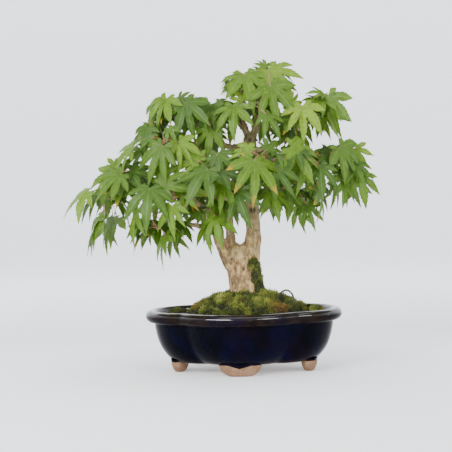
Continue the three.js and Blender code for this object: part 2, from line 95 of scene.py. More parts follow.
# stems and branches: x, y, height and radius
STEMS = {
    "left": [(-9, 0, 90, 6.5), (-15.5, -1, 103, 5.4), (-21, -2, 118, 4.3), (-29, -5, 137, 3.5),
             (-42, -7, 148, 3)],
    "middle": [(-5, 1, 94, 5.4), (-8.4, 1, 106, 4.1), (-9.6, 0, 120, 3.8), (-12, 2, 143, 3.4),
               (-22, 4, 172, 3), (-36, 4, 196, 2.6)],
    "right": [(6, 0, 92, 8.6), (9.2, 0, 106, 7.6), (10.4, 0, 120, 6.6), (9.8, 0, 140, 6),
              (11, 1, 168, 5.1), (10.6, 0, 192, 4.8), (9.6, 0, 203, 4.6)],
}
BRANCHES = {
    "leader_left": [(9, 0, 200, 3.2), (3, -2, 216, 2.5), (4, -4, 235, 2), (7, -8, 252, 1.5)],
    "leader_right": [(11, 1, 200, 3.4), (16.4, 1, 213, 2.7), (20, 0, 236, 2.1), (24, -1, 251, 1.5)],
    "branch_upper_left": [(8, 1, 195, 2.8), (-8, 1, 193, 2.4), (-25, 0, 203, 2), (-44, -4, 222, 1.6),
                          (-56, -8, 233, 1.3)],
    "branch_upper_right": [(12, 0, 188, 3), (31, -2, 194, 2.4), (46, -4, 203, 2), (64, -5, 219, 1.6),
                           (76, -6, 233, 1.3)],
    "branch_right": [(12, 0, 172, 3), (34, -4, 179, 2.4), (60, -8, 184, 2), (82, -12, 181, 1.6),
                     (100, -12, 172, 1.3)],
    "branch_right_low": [(11, 0, 148, 2.6), (25, -6, 152, 2), (45, -10, 152, 1.5)],
    "branch_far_left": [(-40, -7, 147, 2.7), (-64, -10, 156, 2.2), (-92, -12, 162, 1.8),
                        (-116, -12, 154, 1.3)],
    "branch_low_left": [(-21, -3, 121, 2.2), (-42, -8, 127, 1.8), (-66, -12, 128, 1.5), (-85, -14, 127, 1.1)],
    "branch_shoulder_left": [(-35, 4, 194, 2.4), (-56, 0, 203, 2), (-78, -4, 210, 1.4)],
    "branch_front": [(-12, -1, 148, 2.2), (-14, -22, 160, 1.8), (-14, -44, 166, 1.3)],
    "branch_front_right": [(12, -2, 166, 2.4), (22, -24, 176, 1.9), (34, -44, 182, 1.3)],
    "branch_back": [(-11, 5, 146, 2.2), (-14, 24, 160, 1.8), (-14, 46, 166, 1.3)],
    "branch_back_right": [(12, 4, 164, 2.4), (22, 24, 176, 1.9), (32, 46, 182, 1.3)],
}
LEAFY_BRANCHES = ["leader_left", "leader_right", "branch_upper_left", "branch_upper_right", "branch_right",
                  "branch_right_low", "branch_far_left", "branch_low_left", "branch_shoulder_left"]
LEAF_STATIONS = (9, 14, 18)  # pairs of leaves on those branches, in twentieths of the way along
KNOTS = [(-12.8, -0.6, 140, 4.4), (10.5, -3.4, 138, 4.2), (9, -1, 198, 5.6), (-21, -3, 121, 4.6),
         (-4.4, 0, 108, 2.7), (2.2, 0, 108, 2.7), (-16, 2, 156, 3.9), (11, 0.5, 170, 5.7), (1, -9, 88, 4.5),
         (-9, -7, 97, 4.6)]
SCARS = [(-12.8, -4.6, 140, 1.5), (10.5, -7, 138, 2.0), (9, -5.5, 198, 1.4), (1, -13, 88, 0.8),
         (-9, -11, 97, 0.9)]
BARK_VOXEL = 0.62
MOSS_STRIP = [(19.5, -11, 66, 6), (16.5, -9.5, 73, 5.4), (14, -8.6, 81, 5), (11.5, -8.4, 88, 4.6),
              (10, -7.5, 93, 3)]
WIRE_LOOP = [(29, -14, 60.6), (31, -15, 66), (36, -16, 69.5), (41, -17, 67), (45, -18, 57.6)]
WIRE_RADIUS = 0.8

# Foliage in the tree's own frame. Each spray has its hub, where the leaf stalks meet, and its leaves: x, y, z
# of the blade's base, heading of the middle lobe in degrees (0 right, 90 up), lobe length, and the turn about
# that lobe in degrees if it has one. Pale sprays are young growth. The leaves of a spray marked around have
# their twins of the back on the same twig.
SPRAYS = [
    ("crown_left", "around", (7, -12, 254), [
        (6, -22, 253, -84, 33), (3, -15, 250, -155, 17), (12, -18, 250, -20, 19)]),
    ("crown_top", "around", (25, -6, 257), [
        (27, -14, 257, -62, 33), (24, -12, 259, 120, 13), (27, -30, 242, -77, 35)]),
    ("crown_right", "pale", (46, -22, 226), [
        (53, -34, 224, -88, 32), (44, -30, 216, -120, 20), (44, -18, 227, 50, 15, 30)]),
    ("crown_inner", "", (8, -24, 226), [
        (-4, -32, 226, -84, 28), (22, -42, 218, -65, 22), (4, -30, 230, 120, 14)]),
    ("crown_inner_left", "around", (-22, -14, 226), [
        (-23, -22, 228, -108, 36), (-18, -16, 230, -40, 22), (-24, -26, 208, -95, 24)]),
    ("shoulder_right", "around pale", (78, -10, 232), [
        (76, -16, 233, -84, 34, 40), (72, -8, 222, -60, 22), (72, -13, 235, 172, 15, 30)]),
    ("far_right_upper", "", (82, -24, 187), [
        (83, -34, 189, -52, 32), (98, -16, 188, -62, 18, 30), (76, -28, 184, -150, 20)]),
    ("far_right", "", (100, -18, 170), [
        (100, -26, 166, -86, 26, 25), (85, -30, 162, -90, 24, -40), (98, -23, 174, -30, 14)]),
    ("middle_right", "", (50, -46, 186), [
        (41, -60, 189, -22, 36), (65, -48, 174, -88, 28), (65, -42, 152, -96, 24, -50),
        (54, -50, 178, -110, 28)]),
    ("centre", "", (16, -58, 182), [
        (11, -70, 179, -97, 36), (27, -66, 173, -60, 28), (8, -60, 186, 150, 22), (22, -60, 187, 50, 18)]),
    ("low_right", "", (44, -32, 154), [
        (55, -40, 142, -95, 23, 40), (41, -38, 153, -95, 24), (25, -46, 153, -72, 24, -20),
        (62, -30, 158, -50, 22)]),
    ("low_centre", "", (-8, -52, 160), [
        (-3, -60, 154, -80, 28, 35), (-15, -62, 162, -95, 26), (2, -50, 166, -30, 24)]),
    ("inner_left", "", (-26, -52, 172), [
        (-27, -64, 173, -115, 32), (-34, -54, 180, 140, 24), (-18, -52, 186, -75, 26)]),
    ("low_inner_left", "pale", (-24, -42, 138), [
        (-22, -52, 135, -70, 26), (-27, -44, 130, -105, 24, 45), (-32, -46, 140, 175, 22, 30)]),
    ("middle_left", "", (-58, -52, 152), [
        (-56, -66, 144, -85, 25), (-74, -62, 159, -95, 32), (-66, -56, 162, 20, 30),
        (-50, -52, 158, -20, 26, 30)]),
    ("low_left", "", (-70, -38, 126), [
        (-63, -50, 120, -98, 25, 35), (-81, -38, 124, -125, 20, 45), (-85, -44, 142, -108, 26, 50)]),
    ("upper_left", "", (-62, -42, 197), [
        (-63, -54, 193, -120, 32), (-58, -48, 208, -60, 14), (-50, -50, 196, -60, 26),
        (-72, -44, 200, 165, 22, 30)]),
    ("top_left", "", (-52, -20, 230), [
        (-44, -32, 230, -75, 32), (-60, -26, 234, -100, 28), (-70, -18, 231, -92, 23, 45),
        (-50, -22, 232, 0, 16)]),
    ("shoulder_left", "around", (-76, -18, 206), [
        (-76, -28, 210, -105, 25, 30), (-88, -36, 194, -156, 27, 20), (-73, -23, 211, 110, 13)]),
    ("star_left", "", (-96, -32, 172), [
        (-98, -44, 171, -142, 29, 10), (-104, -26, 178, 168, 20), (-92, -36, 174, -30, 26),
        (-106, -24, 171, 176, 26, 15)]),
    ("far_left", "pale", (-116, -20, 148), [
        (-128, -24, 158, -148, 30, 25), (-113, -36, 136, -146, 32, 30), (-116, -24, 136, -116, 32, 50)]),
]
WOBBLE = math.radians(137.5)  # turn between one leaf's lean and the next one's

# metres to the right of the pot, towards the camera and up, then size and watts
LIGHTS = {
    "window_left": (-1.0, 1.2, 0.85, (1.0, 0.34), 27),
    "window_right": (0.95, 1.2, 0.8, (0.6, 0.3), 9),
    "strip_left": (-0.75, 1.3, 0.72, (0.62, 0.026), 7),
    "strip_right": (0.62, 1.3, 0.70, (0.34, 0.026), 4),
    "ceiling": (0.0, 0.15, 1.5, (1.6, 1.6), 22),
    "back_fill": (-0.5, -1.0, 1.1, (1.0, 1.0), 6),
}


# ---------------------------------------------------------------- camera, light and stage
def make_camera():
    """A long lens one metre away; returns the directions to its right and from the pot towards it."""
    right = Vector((math.cos(TURN), math.sin(TURN), 0))
    towards = Vector((math.sin(TURN), -math.cos(TURN), 0))
    middle = POT - right * 0.0130
    aim = middle + Vector((0, 0, 0.125))
    eye = middle + towards * 1.0 + Vector((0, 0, 0.150))
    data = bpy.data.cameras.new("camera")
    data.sensor_width, data.lens = 36, 92.3
    data.clip_start, data.clip_end = 0.05, 20
    camera = bpy.data.objects.new("camera", data)
    bpy.context.scene.collection.objects.link(camera)
    camera.rotation_mode = "QUATERNION"
    camera.location = eye
    roll = Quaternion((0, 0, 1), math.radians(-1.5))
    camera.rotation_quaternion = (aim - eye).to_track_quat("-Z", "Y") @ roll
    bpy.context.scene.camera = camera
    return right, towards


def area_light(name, place, aim, size, watts):
    data = bpy.data.lights.new(name, "AREA")
    data.shape = "RECTANGLE"
    data.size, data.size_y = size
    data.energy = watts
    light = bpy.data.objects.new(name, data)
    bpy.context.scene.collection.objects.link(light)
    light.location = place
    light.rotation_mode = "QUATERNION"
    light.rotation_quaternion = (aim - place).to_track_quat("-Z", "Y")


def light_scene(right, towards):
    up = Vector((0, 0, 1))
    for name, (to_right, to_camera, height, size, watts) in LIGHTS.items():
        place = POT + right * to_right + towards * to_camera + up * height
        area_light(name, place, POT + up * 0.14, size, watts)
    world = bpy.data.worlds.new("room")
    world.use_nodes = True
    nodes, links = world.node_tree.nodes, world.node_tree.links
    direction = nodes.new("ShaderNodeTexCoord")
    facing = nodes.new("ShaderNodeVectorMath")
    facing.operation = "DOT_PRODUCT"
    facing.inputs[1].default_value = -towards
    links.new(direction.outputs["Generated"], facing.inputs[0])
    tones = nodes.new("ShaderNodeValToRGB")  # the room is dim behind the camera and bright round the backdrop
    dim, bright = tones.color_ramp.elements
    dim.position, dim.color = 0.0, (0.16, 0.17, 0.19, 1)
    bright.position, bright.color = 0.6, (0.85, 0.9, 1.0, 1)
    links.new(facing.outputs["Value"], tones.inputs["Fac"])
    links.new(tones.outputs["Color"], nodes["Background"].inputs["Color"])
    nodes["Background"].inputs["Strength"].default_value = 0.85
    bpy.context.scene.world = world


def make_stage(towards):
    """A pale round floor that sweeps up into a wall all round the object, dimmer on the camera's side."""
    bend, reach, wall, sides = 0.9, 2.0, 1.2, 96
    rows = [(reach * share, 0.0) for share in (0.002, 0.1, 0.2, 0.35, 0.5, 0.75)]
    rows += [(reach + bend * math.sin(a), bend * (1 - math.cos(a))) for a in np.linspace(0, math.pi / 2, 14)]
    rows.append((reach + bend, bend + wall))
    angles = np.linspace(0, 2 * math.pi, sides + 1)[:-1]
    rings = [[POT + Vector((r * math.cos(a), r * math.sin(a), z)) for a in angles] for r, z in rows]
    floor = wrap_grid("floor_sweep", rings)
    choose(floor)
    bpy.ops.object.mode_set(mode="EDIT")
    bpy.ops.mesh.select_mode(type="FACE")
    bpy.ops.object.mode_set(mode="OBJECT")
    for face in floor.data.polygons:  # the cap that closes the wall's top
        face.select = len(face.vertices) > 4 and face.center.z > bend
    bpy.ops.object.mode_set(mode="EDIT")
    bpy.ops.mesh.delete(type="FACE")
    bpy.ops.object.mode_set(mode="OBJECT")
    floor.data.flip_normals()
    shade_smooth(floor)
    paint = Paint("pale_floor")
    paint.set(base_color=(0.80, 0.81, 0.83, 1), roughness=0.9, specular_ior_level=0.1,
              emission_color=(0.96, 0.98, 1.0, 1))
    glow = paint.ramp(paint.vector_math("LENGTH", paint.place), [(0.35, 0.35), (1.0, 1.0)])
    dim = paint.ramp(paint.vector_math("DOT_PRODUCT", paint.place, towards), [(0.2, 1.0), (1.0, 0.3)])
    paint.set(emission_strength=paint.math("MULTIPLY", glow, dim))
    floor.data.materials.append(paint.material)


# ---------------------------------------------------------------- small helpers
def clamp(value, high=1.0):
    return min(high, max(0.0, value))


def ring_angles(count):
    return [2 * math.pi * k / count for k in range(count)]


def clear_selection():
    if bpy.context.object and bpy.context.object.mode != "OBJECT":
        bpy.ops.object.mode_set(mode="OBJECT")
    bpy.ops.object.select_all(action="DESELECT")


def choose(*objects):
    clear_selection()
    for obj in objects:
        obj.select_set(True)
    bpy.context.view_layer.objects.active = objects[0]


def settle(obj):
    """Applies the object's own transform to its mesh."""
    choose(obj)
    bpy.ops.object.transform_apply(location=True, rotation=True, scale=True)


def join(name, objects):
    choose(*objects)
    if len(objects) > 1:
        bpy.ops.object.join()
    obj = bpy.context.object
    obj.name = name
    return obj


def apply_modifier(obj, kind, **settings):
    choose(obj)
    modifier = obj.modifiers.new(kind.lower(), kind)
    for key, value in settings.items():
        setattr(modifier, key, value)
    bpy.ops.object.modifier_apply(modifier=modifier.name)


def wrap_grid(name, rings):
    """A mesh grid wrapped round so that each row is one of the rings, with its seam and ends closed."""
    clear_selection()
    columns = len(rings[0])
    bpy.ops.mesh.primitive_grid_add(x_subdivisions=columns, y_subdivisions=len(rings) - 1)
    obj = bpy.context.object
    obj.name = name
    points = [ring[i % columns] for ring in rings for i in range(columns + 1)]
    obj.data.vertices.foreach_set("co", np.ravel(points))
    bpy.ops.object.mode_set(mode="EDIT")
    bpy.ops.mesh.select_all(action="SELECT")
    bpy.ops.mesh.remove_doubles(threshold=1e-7)
    bpy.ops.mesh.select_all(action="SELECT")
    bpy.ops.mesh.fill_holes(sides=0)
    bpy.ops.mesh.select_all(action="SELECT")
    bpy.ops.mesh.normals_make_consistent(inside=False)
    bpy.ops.object.mode_set(mode="OBJECT")
    return obj


def smooth_path(points, steps):
    """Points of a smooth curve through the given ones, with further values such as a radius carried along."""
    rows = np.array(points, float)
    rows = np.vstack([2 * rows[0] - rows[1], rows, 2 * rows[-1] - rows[-2]])
    out = []
    for step in range(steps + 1):
        along = step / steps * (len(points) - 1)
        low = min(int(along), len(points) - 2)
        t = along - low
        a, b, c, d = rows[low:low + 4]
        out.append(0.5 * (2 * b + (c - a) * t + (2 * a - 5 * b + 4 * c - d) * t ** 2
                          + (3 * b - a - 3 * c + d) * t ** 3))
    return np.array(out)


def tube_rings(path, radii, sides):
    """Rings of a tube along the path, turned as little as possible from one to the next."""
    rings = []
    normal = None
    for i, point in enumerate(path):
        ahead = Vector(path[min(i + 1, len(path) - 1)]) - Vector(path[max(i - 1, 0)])
        ahead.normalize()
        if normal is None:
            normal = ahead.orthogonal().normalized()
        normal = (normal - ahead * normal.dot(ahead)).normalized()
        side = ahead.cross(normal)
        rings.append([Vector(point) + (normal * math.cos(a) + side * math.sin(a)) * radii[i]
                      for a in ring_angles(sides)])
    return rings


def to_world(point):
    """From the tree's own frame in millimetres to the scene."""
    x, y, z = point[:3]
    c, s = math.cos(TURN), math.sin(TURN)
    return POT + Vector((x * c - y * s, x * s + y * c, z)) * MM


def limb(name, points, steps, sides, uneven=0.0):
    """A tapered limb along a smooth curve; each point is x, y, z and radius in the tree's own frame."""
    rows = smooth_path(points, steps)
    path = [to_world(row) for row in rows]
    radii = [row[3] * MM * (1 + uneven * noise.noise(Vector(row[:3]) * 0.11)) for row in rows]
    return wrap_grid(name, tube_rings(path, radii, sides))


def fill_attribute(obj, name, values, domain="POINT"):
    """Writes an attribute: one value for each vertex or face, or one for all."""
    attribute = obj.data.attributes.get(name) or obj.data.attributes.new(name, "FLOAT", domain)
    filled = np.broadcast_to(np.asarray(values, float), len(attribute.data))
    attribute.data.foreach_set("value", filled.copy())


def coordinates(obj):
    points = np.empty(len(obj.data.vertices) * 3)
    obj.data.vertices.foreach_get("co", points)
    return points.reshape(-1, 3)


def push_out(obj, height):
    """Moves each vertex along its normal by height(place)."""
    normals = [vertex.normal.copy() for vertex in obj.data.vertices]
    for vertex, normal in zip(obj.data.vertices, normals):
        vertex.co += normal * height(vertex.co.copy())
    obj.data.update()


def scatter(name, templates, places):
    """One mesh of many copies: each place is a template's number, a matrix and a shade."""
    shapes = []
    for template in templates:
        faces = [list(polygon.vertices) for polygon in template.data.polygons]
        shapes.append((coordinates(template), faces))
    points, faces, shades = [], [], []
    count = 0
    for number, matrix, shade in places:
        shape, shape_faces = shapes[number]
        turn = np.array(matrix)
        points.append(shape @ turn[:3, :3].T + turn[:3, 3])
        faces.extend([index + count for index in face] for face in shape_faces)
        shades.append(np.full(len(shape), shade))
        count += len(shape)
    mesh = bpy.data.meshes.new(name)
    mesh.from_pydata(np.concatenate(points).tolist(), [], faces)
    obj = bpy.data.objects.new(name, mesh)
    bpy.context.scene.collection.objects.link(obj)
    fill_attribute(obj, "shade", np.concatenate(shades))
    return obj


def discard(*objects):
    for obj in objects:
        bpy.data.objects.remove(obj, do_unlink=True)


def shade_smooth(obj, degrees=180):
    """Smooth shading, with edges sharper than the angle left hard."""
    choose(obj)
    if degrees < 180:
        bpy.ops.object.shade_smooth_by_angle(angle=math.radians(degrees))
    else:
        bpy.ops.object.shade_smooth()


def finish_piece(obj, node, material):
    """Gives a finished piece its material and its body, and hides the node it stands for."""
    obj.data.materials.clear()
    obj.data.materials.append(material)
    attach(obj, "root")
    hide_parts(node)


# ---------------------------------------------------------------- materials
class Paint:
    """Short calls for the node tree of one material."""

    def __init__(self, name):
        self.material = bpy.data.materials.new(name)
        self.material.use_nodes = True
        self.nodes, self.links = self.material.node_tree.nodes, self.material.node_tree.links
        self.surface = self.nodes["Principled BSDF"]
        self.place = self.nodes.new("ShaderNodeTexCoord").outputs["Object"]

    def wire(self, value, socket):
        if hasattr(value, "is_output"):
            self.links.new(value, socket)
        else:
            socket.default_value = value

    def noise(self, scale, detail=4.0, roughness=0.55, stretch=None, distortion=0.0):
        node = self.nodes.new("ShaderNodeTexNoise")
        node.inputs["Scale"].default_value = scale
        node.inputs["Detail"].default_value = detail
        node.inputs["Roughness"].default_value = roughness
        node.inputs["Distortion"].default_value = distortion
        source = self.place
        if stretch:
            mapping = self.nodes.new("ShaderNodeMapping")
            mapping.inputs["Scale"].default_value = stretch
            self.links.new(source, mapping.inputs["Vector"])
            source = mapping.outputs["Vector"]
        self.links.new(source, node.inputs["Vector"])
        return node.outputs["Fac"]

    def cells(self, scale):
        """Distance to the nearest cell point."""
        node = self.nodes.new("ShaderNodeTexVoronoi")
        node.inputs["Scale"].default_value = scale
        self.links.new(self.place, node.inputs["Vector"])
        return node.outputs["Distance"]

    def attribute(self, name):
        node = self.nodes.new("ShaderNodeAttribute")
        node.attribute_name = name
        return node.outputs["Fac"]

    def ramp(self, value, stops):
        """A colour ramp; each stop is a position and a colour or a grey."""
        node = self.nodes.new("ShaderNodeValToRGB")
        elements = node.color_ramp.elements
        while len(elements) < len(stops):
            elements.new(0.5)
        for element, (position, colour) in zip(elements, stops):
            element.position = position
            element.color = (*colour, 1) if hasattr(colour, "__len__") else (colour, colour, colour, 1)
        self.links.new(value, node.inputs["Fac"])
        return node.outputs["Color"]

    def mix(self, share, first, second, blend="MIX"):
        node = self.nodes.new("ShaderNodeMix")
        node.data_type = "RGBA"
        node.blend_type = blend
        self.wire(share, node.inputs[0])
        self.wire(first if hasattr(first, "is_output") else (*first, 1), node.inputs[6])
        self.wire(second if hasattr(second, "is_output") else (*second, 1), node.inputs[7])
        return node.outputs[2]

    def math(self, operation, first, second=0.0):
        node = self.nodes.new("ShaderNodeMath")
        node.operation = operation
        self.wire(first, node.inputs[0])
        self.wire(second, node.inputs[1])
        return node.outputs[0]

    def vector_math(self, operation, first, second=(0, 0, 0)):
        """A length or a dot product."""
        node = self.nodes.new("ShaderNodeVectorMath")
        node.operation = operation
        self.wire(first, node.inputs[0])
        self.wire(second, node.inputs[1])
        return node.outputs["Value"]

    def bump(self, height, distance, strength=1.0):
        node = self.nodes.new("ShaderNodeBump")
        node.inputs["Strength"].default_value = strength
        node.inputs["Distance"].default_value = distance
        self.links.new(height, node.inputs["Height"])
        self.links.new(node.outputs["Normal"], self.surface.inputs["Normal"])

    def set(self, **sockets):
        """Values or links for the surface's sockets, named in lower case."""
        for key, value in sockets.items():
            self.wire(value, self.surface.inputs[key.replace("_", " ").title().replace("Ior", "IOR")])


def pot_finish():
    """Navy gloss glaze that breaks brown where it runs thin over edges, on a bare sandy clay."""
    paint = Paint("navy_glaze")
    bare = paint.ramp(paint.attribute("bare"), [(0.44, 0.0), (0.56, 1.0)])
    thin = paint.attribute("thin")
    pool = paint.noise(30, 5, 0.6, distortion=0.6)
    navy = paint.ramp(pool, [(0.32, (0.0004, 0.0005, 0.0012)), (0.50, (0.0006, 0.0008, 0.0040)),
                             (0.70, (0.0010, 0.0010, 0.0130))])
    violet = paint.ramp(paint.noise(22, 3, 0.5), [(0.58, 0.0), (0.74, 0.5)])
    navy = paint.mix(violet, navy, (0.0060, 0.0012, 0.0022))
    edge = paint.math("MULTIPLY", thin, paint.ramp(paint.noise(120, 4), [(0.35, 0.25), (0.65, 1.0)]))
    glaze = paint.mix(edge, navy, (0.014, 0.0088, 0.0052))
    speck = paint.ramp(paint.cells(700), [(0.0, 1.0), (0.12, 0.0)])
    glaze = paint.mix(paint.math("MULTIPLY", speck, 0.25), glaze, (0.03, 0.03, 0.05))
    clay = paint.ramp(paint.noise(220, 6, 0.65), [(0.25, (0.15, 0.085, 0.05)), (0.5, (0.235, 0.14, 0.085)),
                                                 (0.75, (0.32, 0.205, 0.13))])
    grit = paint.ramp(paint.cells(1500), [(0.0, 1.0), (0.2, 0.0)])
    clay = paint.mix(paint.math("MULTIPLY", grit, 0.5), clay, (0.12, 0.065, 0.04))
    paint.set(base_color=paint.mix(bare, glaze, clay),
              roughness=paint.math("ADD", paint.math("MULTIPLY", bare, 0.72), 0.06))
    paint.set(specular_ior_level=paint.ramp(paint.attribute("gloss"), [(0.0, 0.032), (1.0, 0.5)]))
    ripple = paint.math("ADD", paint.math("MULTIPLY", paint.noise(45, 2), 0.6),
                        paint.math("MULTIPLY", bare, paint.math("MULTIPLY", paint.noise(1200, 4), 0.5)))
    paint.bump(ripple, 0.0006, 0.25)
    return paint.material


def soil_finish():
    paint = Paint("soil_grains")
    shade = paint.attribute("shade")
    colour = paint.ramp(shade, [(0.0, (0.010, 0.007, 0.005)), (0.35, (0.032, 0.020, 0.013)),
                                (0.65, (0.075, 0.045, 0.026)), (0.86, (0.17, 0.10, 0.05)),
                                (1.0, (0.30, 0.21, 0.12))])
    dust = paint.ramp(paint.noise(900, 5, 0.7), [(0.35, 0.55), (0.7, 1.25)])
    paint.set(base_color=paint.mix(1.0, colour, dust, "MULTIPLY"), roughness=0.92)
    paint.bump(paint.noise(2600, 5, 0.7), 0.0004, 0.8)
    return paint.material


def moss_finish():
    """Yellow-green at the tufts' tips and darkened towards their feet as painted shade among the tufts, with
    dry brown patches.
    """
    paint = Paint("moss")
    shade = paint.attribute("shade")
    tip = paint.attribute("tip")
    patch = paint.noise(55, 4, 0.6)
    green = paint.ramp(shade, [(0.0, (0.014, 0.020, 0.004)), (0.25, (0.050, 0.064, 0.007)),
                               (0.5, (0.130, 0.165, 0.014)), (0.75, (0.27, 0.31, 0.034)),
                               (1.0, (0.52, 0.53, 0.11))])
    rusty = paint.math("MAXIMUM", paint.ramp(patch, [(0.60, 0.0), (0.68, 0.7)]), paint.attribute("rust"))
    green = paint.mix(rusty, green, (0.30, 0.155, 0.022))
    # painted shade: towards each tuft's foot the green is multiplied much darker
    foot = paint.mix(1.0, green, (0.13, 0.12, 0.09), "MULTIPLY")
    paint.set(base_color=paint.mix(tip, foot, green), roughness=0.85)
    paint.bump(paint.noise(2400, 4, 0.7), 0.0004, 0.6)
    return paint.material


def bark_finish():
    """Beige maple bark, greener higher up, with upright streaks, dark scars and pale lenticels."""
    paint = Paint("bark")
    streaks = paint.noise(300, 7, 0.68, stretch=(1, 1, 0.42), distortion=0.5)
    colour = paint.ramp(streaks, [(0.34, (0.075, 0.036, 0.014)), (0.44, (0.23, 0.130, 0.055)),
                                  (0.54, (0.49, 0.325, 0.13)), (0.66, (0.77, 0.57, 0.27))])
    young = paint.attribute("young")
    green = paint.ramp(paint.noise(210, 6, 0.65), [(0.34, (0.12, 0.085, 0.032)), (0.5, (0.30, 0.25, 0.105)),
                                                   (0.66, (0.46, 0.43, 0.24))])
    colour = paint.mix(paint.math("MULTIPLY", young, 0.7), colour, green)
    blotch = paint.ramp(paint.noise(75, 6, 0.7), [(0.48, 0.0), (0.62, 0.6)])
    colour = paint.mix(blotch, colour, (0.13, 0.085, 0.038))
    pits = paint.ramp(paint.cells(330), [(0.0, 0.9), (0.2, 0.0)])
    colour = paint.mix(pits, colour, (0.07, 0.038, 0.020))
    lenticels = paint.ramp(paint.cells(540), [(0.0, 0.8), (0.16, 0.0)])
    colour = paint.mix(paint.math("MULTIPLY", lenticels, 0.7), colour, (0.72, 0.62, 0.45))
    colour = paint.mix(paint.attribute("scar"), colour, (0.045, 0.024, 0.014))
    paint.set(base_color=colour, roughness=0.82)
    fissure = paint.noise(520, 8, 0.66, stretch=(1, 1, 0.45), distortion=0.5)
    paint.bump(paint.math("ADD", fissure, paint.math("MULTIPLY", streaks, 1.4)), 0.0014, 0.85)
    return paint.material


def leaf_finish():
    """Thin green blades with pale veins, some tips turning yellow to orange, light shining through."""
    paint = Paint("leaf")
    tone = paint.attribute("tone")
    uv = paint.nodes.new("ShaderNodeUVMap")
    uv.uv_map = "UVMap"
    parts = paint.nodes.new("ShaderNodeSeparateXYZ")
    paint.links.new(uv.outputs["UV"], parts.inputs[0])
    across = paint.math("ABSOLUTE", paint.math("SUBTRACT", parts.outputs["X"], 0.5))
    along = parts.outputs["Y"]
    green = paint.ramp(tone, [(0.0, (0.016, 0.048, 0.006)), (0.3, (0.052, 0.125, 0.009)),
                              (0.55, (0.118, 0.228, 0.011)), (0.8, (0.225, 0.350, 0.024)),
                              (1.0, (0.42, 0.48, 0.05))])
    mottle = paint.ramp(paint.noise(280, 6, 0.62), [(0.3, 0.62), (0.7, 1.2)])
    green = paint.mix(1.0, green, mottle, "MULTIPLY")
    midrib = paint.ramp(across, [(0.0, 1.0), (0.03, 0.8), (0.065, 0.0)])
    slant = paint.math("SUBTRACT", paint.math("MULTIPLY", along, 9.0), paint.math("MULTIPLY", across, 5.0))
    side_veins = paint.ramp(paint.math("PINGPONG", slant, 0.5), [(0.0, 0.3), (0.08, 0.0)])
    veins = paint.math("MAXIMUM", midrib, side_veins)
    pale = paint.mix(0.45, green, (0.42, 0.50, 0.15))
    colour = paint.mix(paint.math("MULTIPLY", veins, 0.6), green, pale)
    dry = paint.math("MULTIPLY", paint.attribute("dry"),
                     paint.ramp(paint.math("ADD", along, paint.math("MULTIPLY", paint.noise(500, 3), 0.3)),
                                [(0.90, 0.0), (1.15, 1.0)]))
    colour = paint.mix(dry, colour, (0.50, 0.27, 0.03))
    colour = paint.mix(paint.math("MULTIPLY", paint.attribute("under"), 0.4), colour, (0.20, 0.29, 0.085))
    paint.set(base_color=colour, roughness=0.45, specular_ior_level=0.3)
    paint.bump(paint.math("SUBTRACT", paint.math("MULTIPLY", paint.noise(900, 3), 0.35), veins), 0.0002, 0.5)
    glow = paint.nodes.new("ShaderNodeBsdfTranslucent")
    paint.links.new(paint.mix(0.5, colour, (0.40, 0.62, 0.03)), glow.inputs["Color"])
    blend = paint.nodes.new("ShaderNodeMixShader")
    blend.inputs["Fac"].default_value = 0.35
    paint.links.new(paint.surface.outputs[0], blend.inputs[1])
    paint.links.new(glow.outputs[0], blend.inputs[2])
    paint.links.new(blend.outputs[0], paint.nodes["Material Output"].inputs["Surface"])
    return paint.material


def stalk_finish():
    paint = Paint("stalk")
    tone = paint.attribute("tone")
    colour = paint.ramp(tone, [(0.0, (0.16, 0.105, 0.055)), (0.4, (0.25, 0.17, 0.075)),
                               (0.6, (0.36, 0.15, 0.09)), (1.0, (0.36, 0.36, 0.13))])
    colour = paint.mix(1.0, colour, paint.ramp(paint.noise(700, 4), [(0.3, 0.7), (0.7, 1.2)]), "MULTIPLY")
    paint.set(base_color=colour, roughness=0.5)
    paint.bump(paint.noise(1800, 3), 0.0002, 0.5)
    return paint.material


def wire_finish():
    paint = Paint("wire")
    colour = paint.ramp(paint.noise(800, 5, 0.7), [(0.3, (0.030, 0.018, 0.011)),
                                                  (0.55, (0.075, 0.050, 0.034)), (0.8, (0.16, 0.12, 0.09))])
    paint.set(base_color=colour, roughness=0.5, metallic=0.4)
    paint.bump(paint.noise(3000, 3), 0.0001, 0.5)
    return paint.material


def mesh_finish():
    paint = Paint("mesh_plastic")
    colour = paint.ramp(paint.noise(500, 4), [(0.3, (0.012, 0.012, 0.012)), (0.7, (0.035, 0.034, 0.032))])
    paint.set(base_color=colour, roughness=0.55)
    paint.bump(paint.noise(2500, 3), 0.0001, 0.4)
    return paint.material


# ---------------------------------------------------------------- pot
def arc_points(start, end, bulge, steps):
    """Points of an arc that bulges outwards by the given height, without its end point."""
    chord = end - start
    half = chord.length / 2
    radius = (half * half + bulge * bulge) / (2 * bulge)
    outward = Vector((chord.y, -chord.x)).normalized()
    centre = (start + end) / 2 + outward * (bulge - radius)
    spoke = start - centre
    sweep = 2 * math.asin(min(1.0, half / radius))
    if bulge > half:
        sweep = 2 * math.pi - sweep
    return [Matrix.Rotation(sweep * i / steps, 2) @ spoke + centre for i in range(steps)]


def lobed_outline(half_length, passes=1):
    """Four-lobed outline in millimetres, its cusps softened by passes of smoothing."""
    inset = RIM_HALF_LENGTH - half_length
    half_depth = RIM_HALF_DEPTH - inset
    nx, ny = 50 - 0.8 * inset, 44 - 0.68 * inset  # where the lobes meet
    corners = [Vector((-nx, -ny)), Vector((nx, -ny)), Vector((nx, ny)), Vector((-nx, ny))]
    points = []
    for i, corner in enumerate(corners):
        bulge = (half_depth - ny, half_length - nx)[i % 2]
        points += arc_points(corner, corners[(i + 1) % 4], bulge, 40)
    rows = np.array([tuple(point) for point in points])
    for _ in range(passes):
        rows = rows / 2 + (np.roll(rows, 1, axis=0) + np.roll(rows, -1, axis=0)) / 4
    return rows


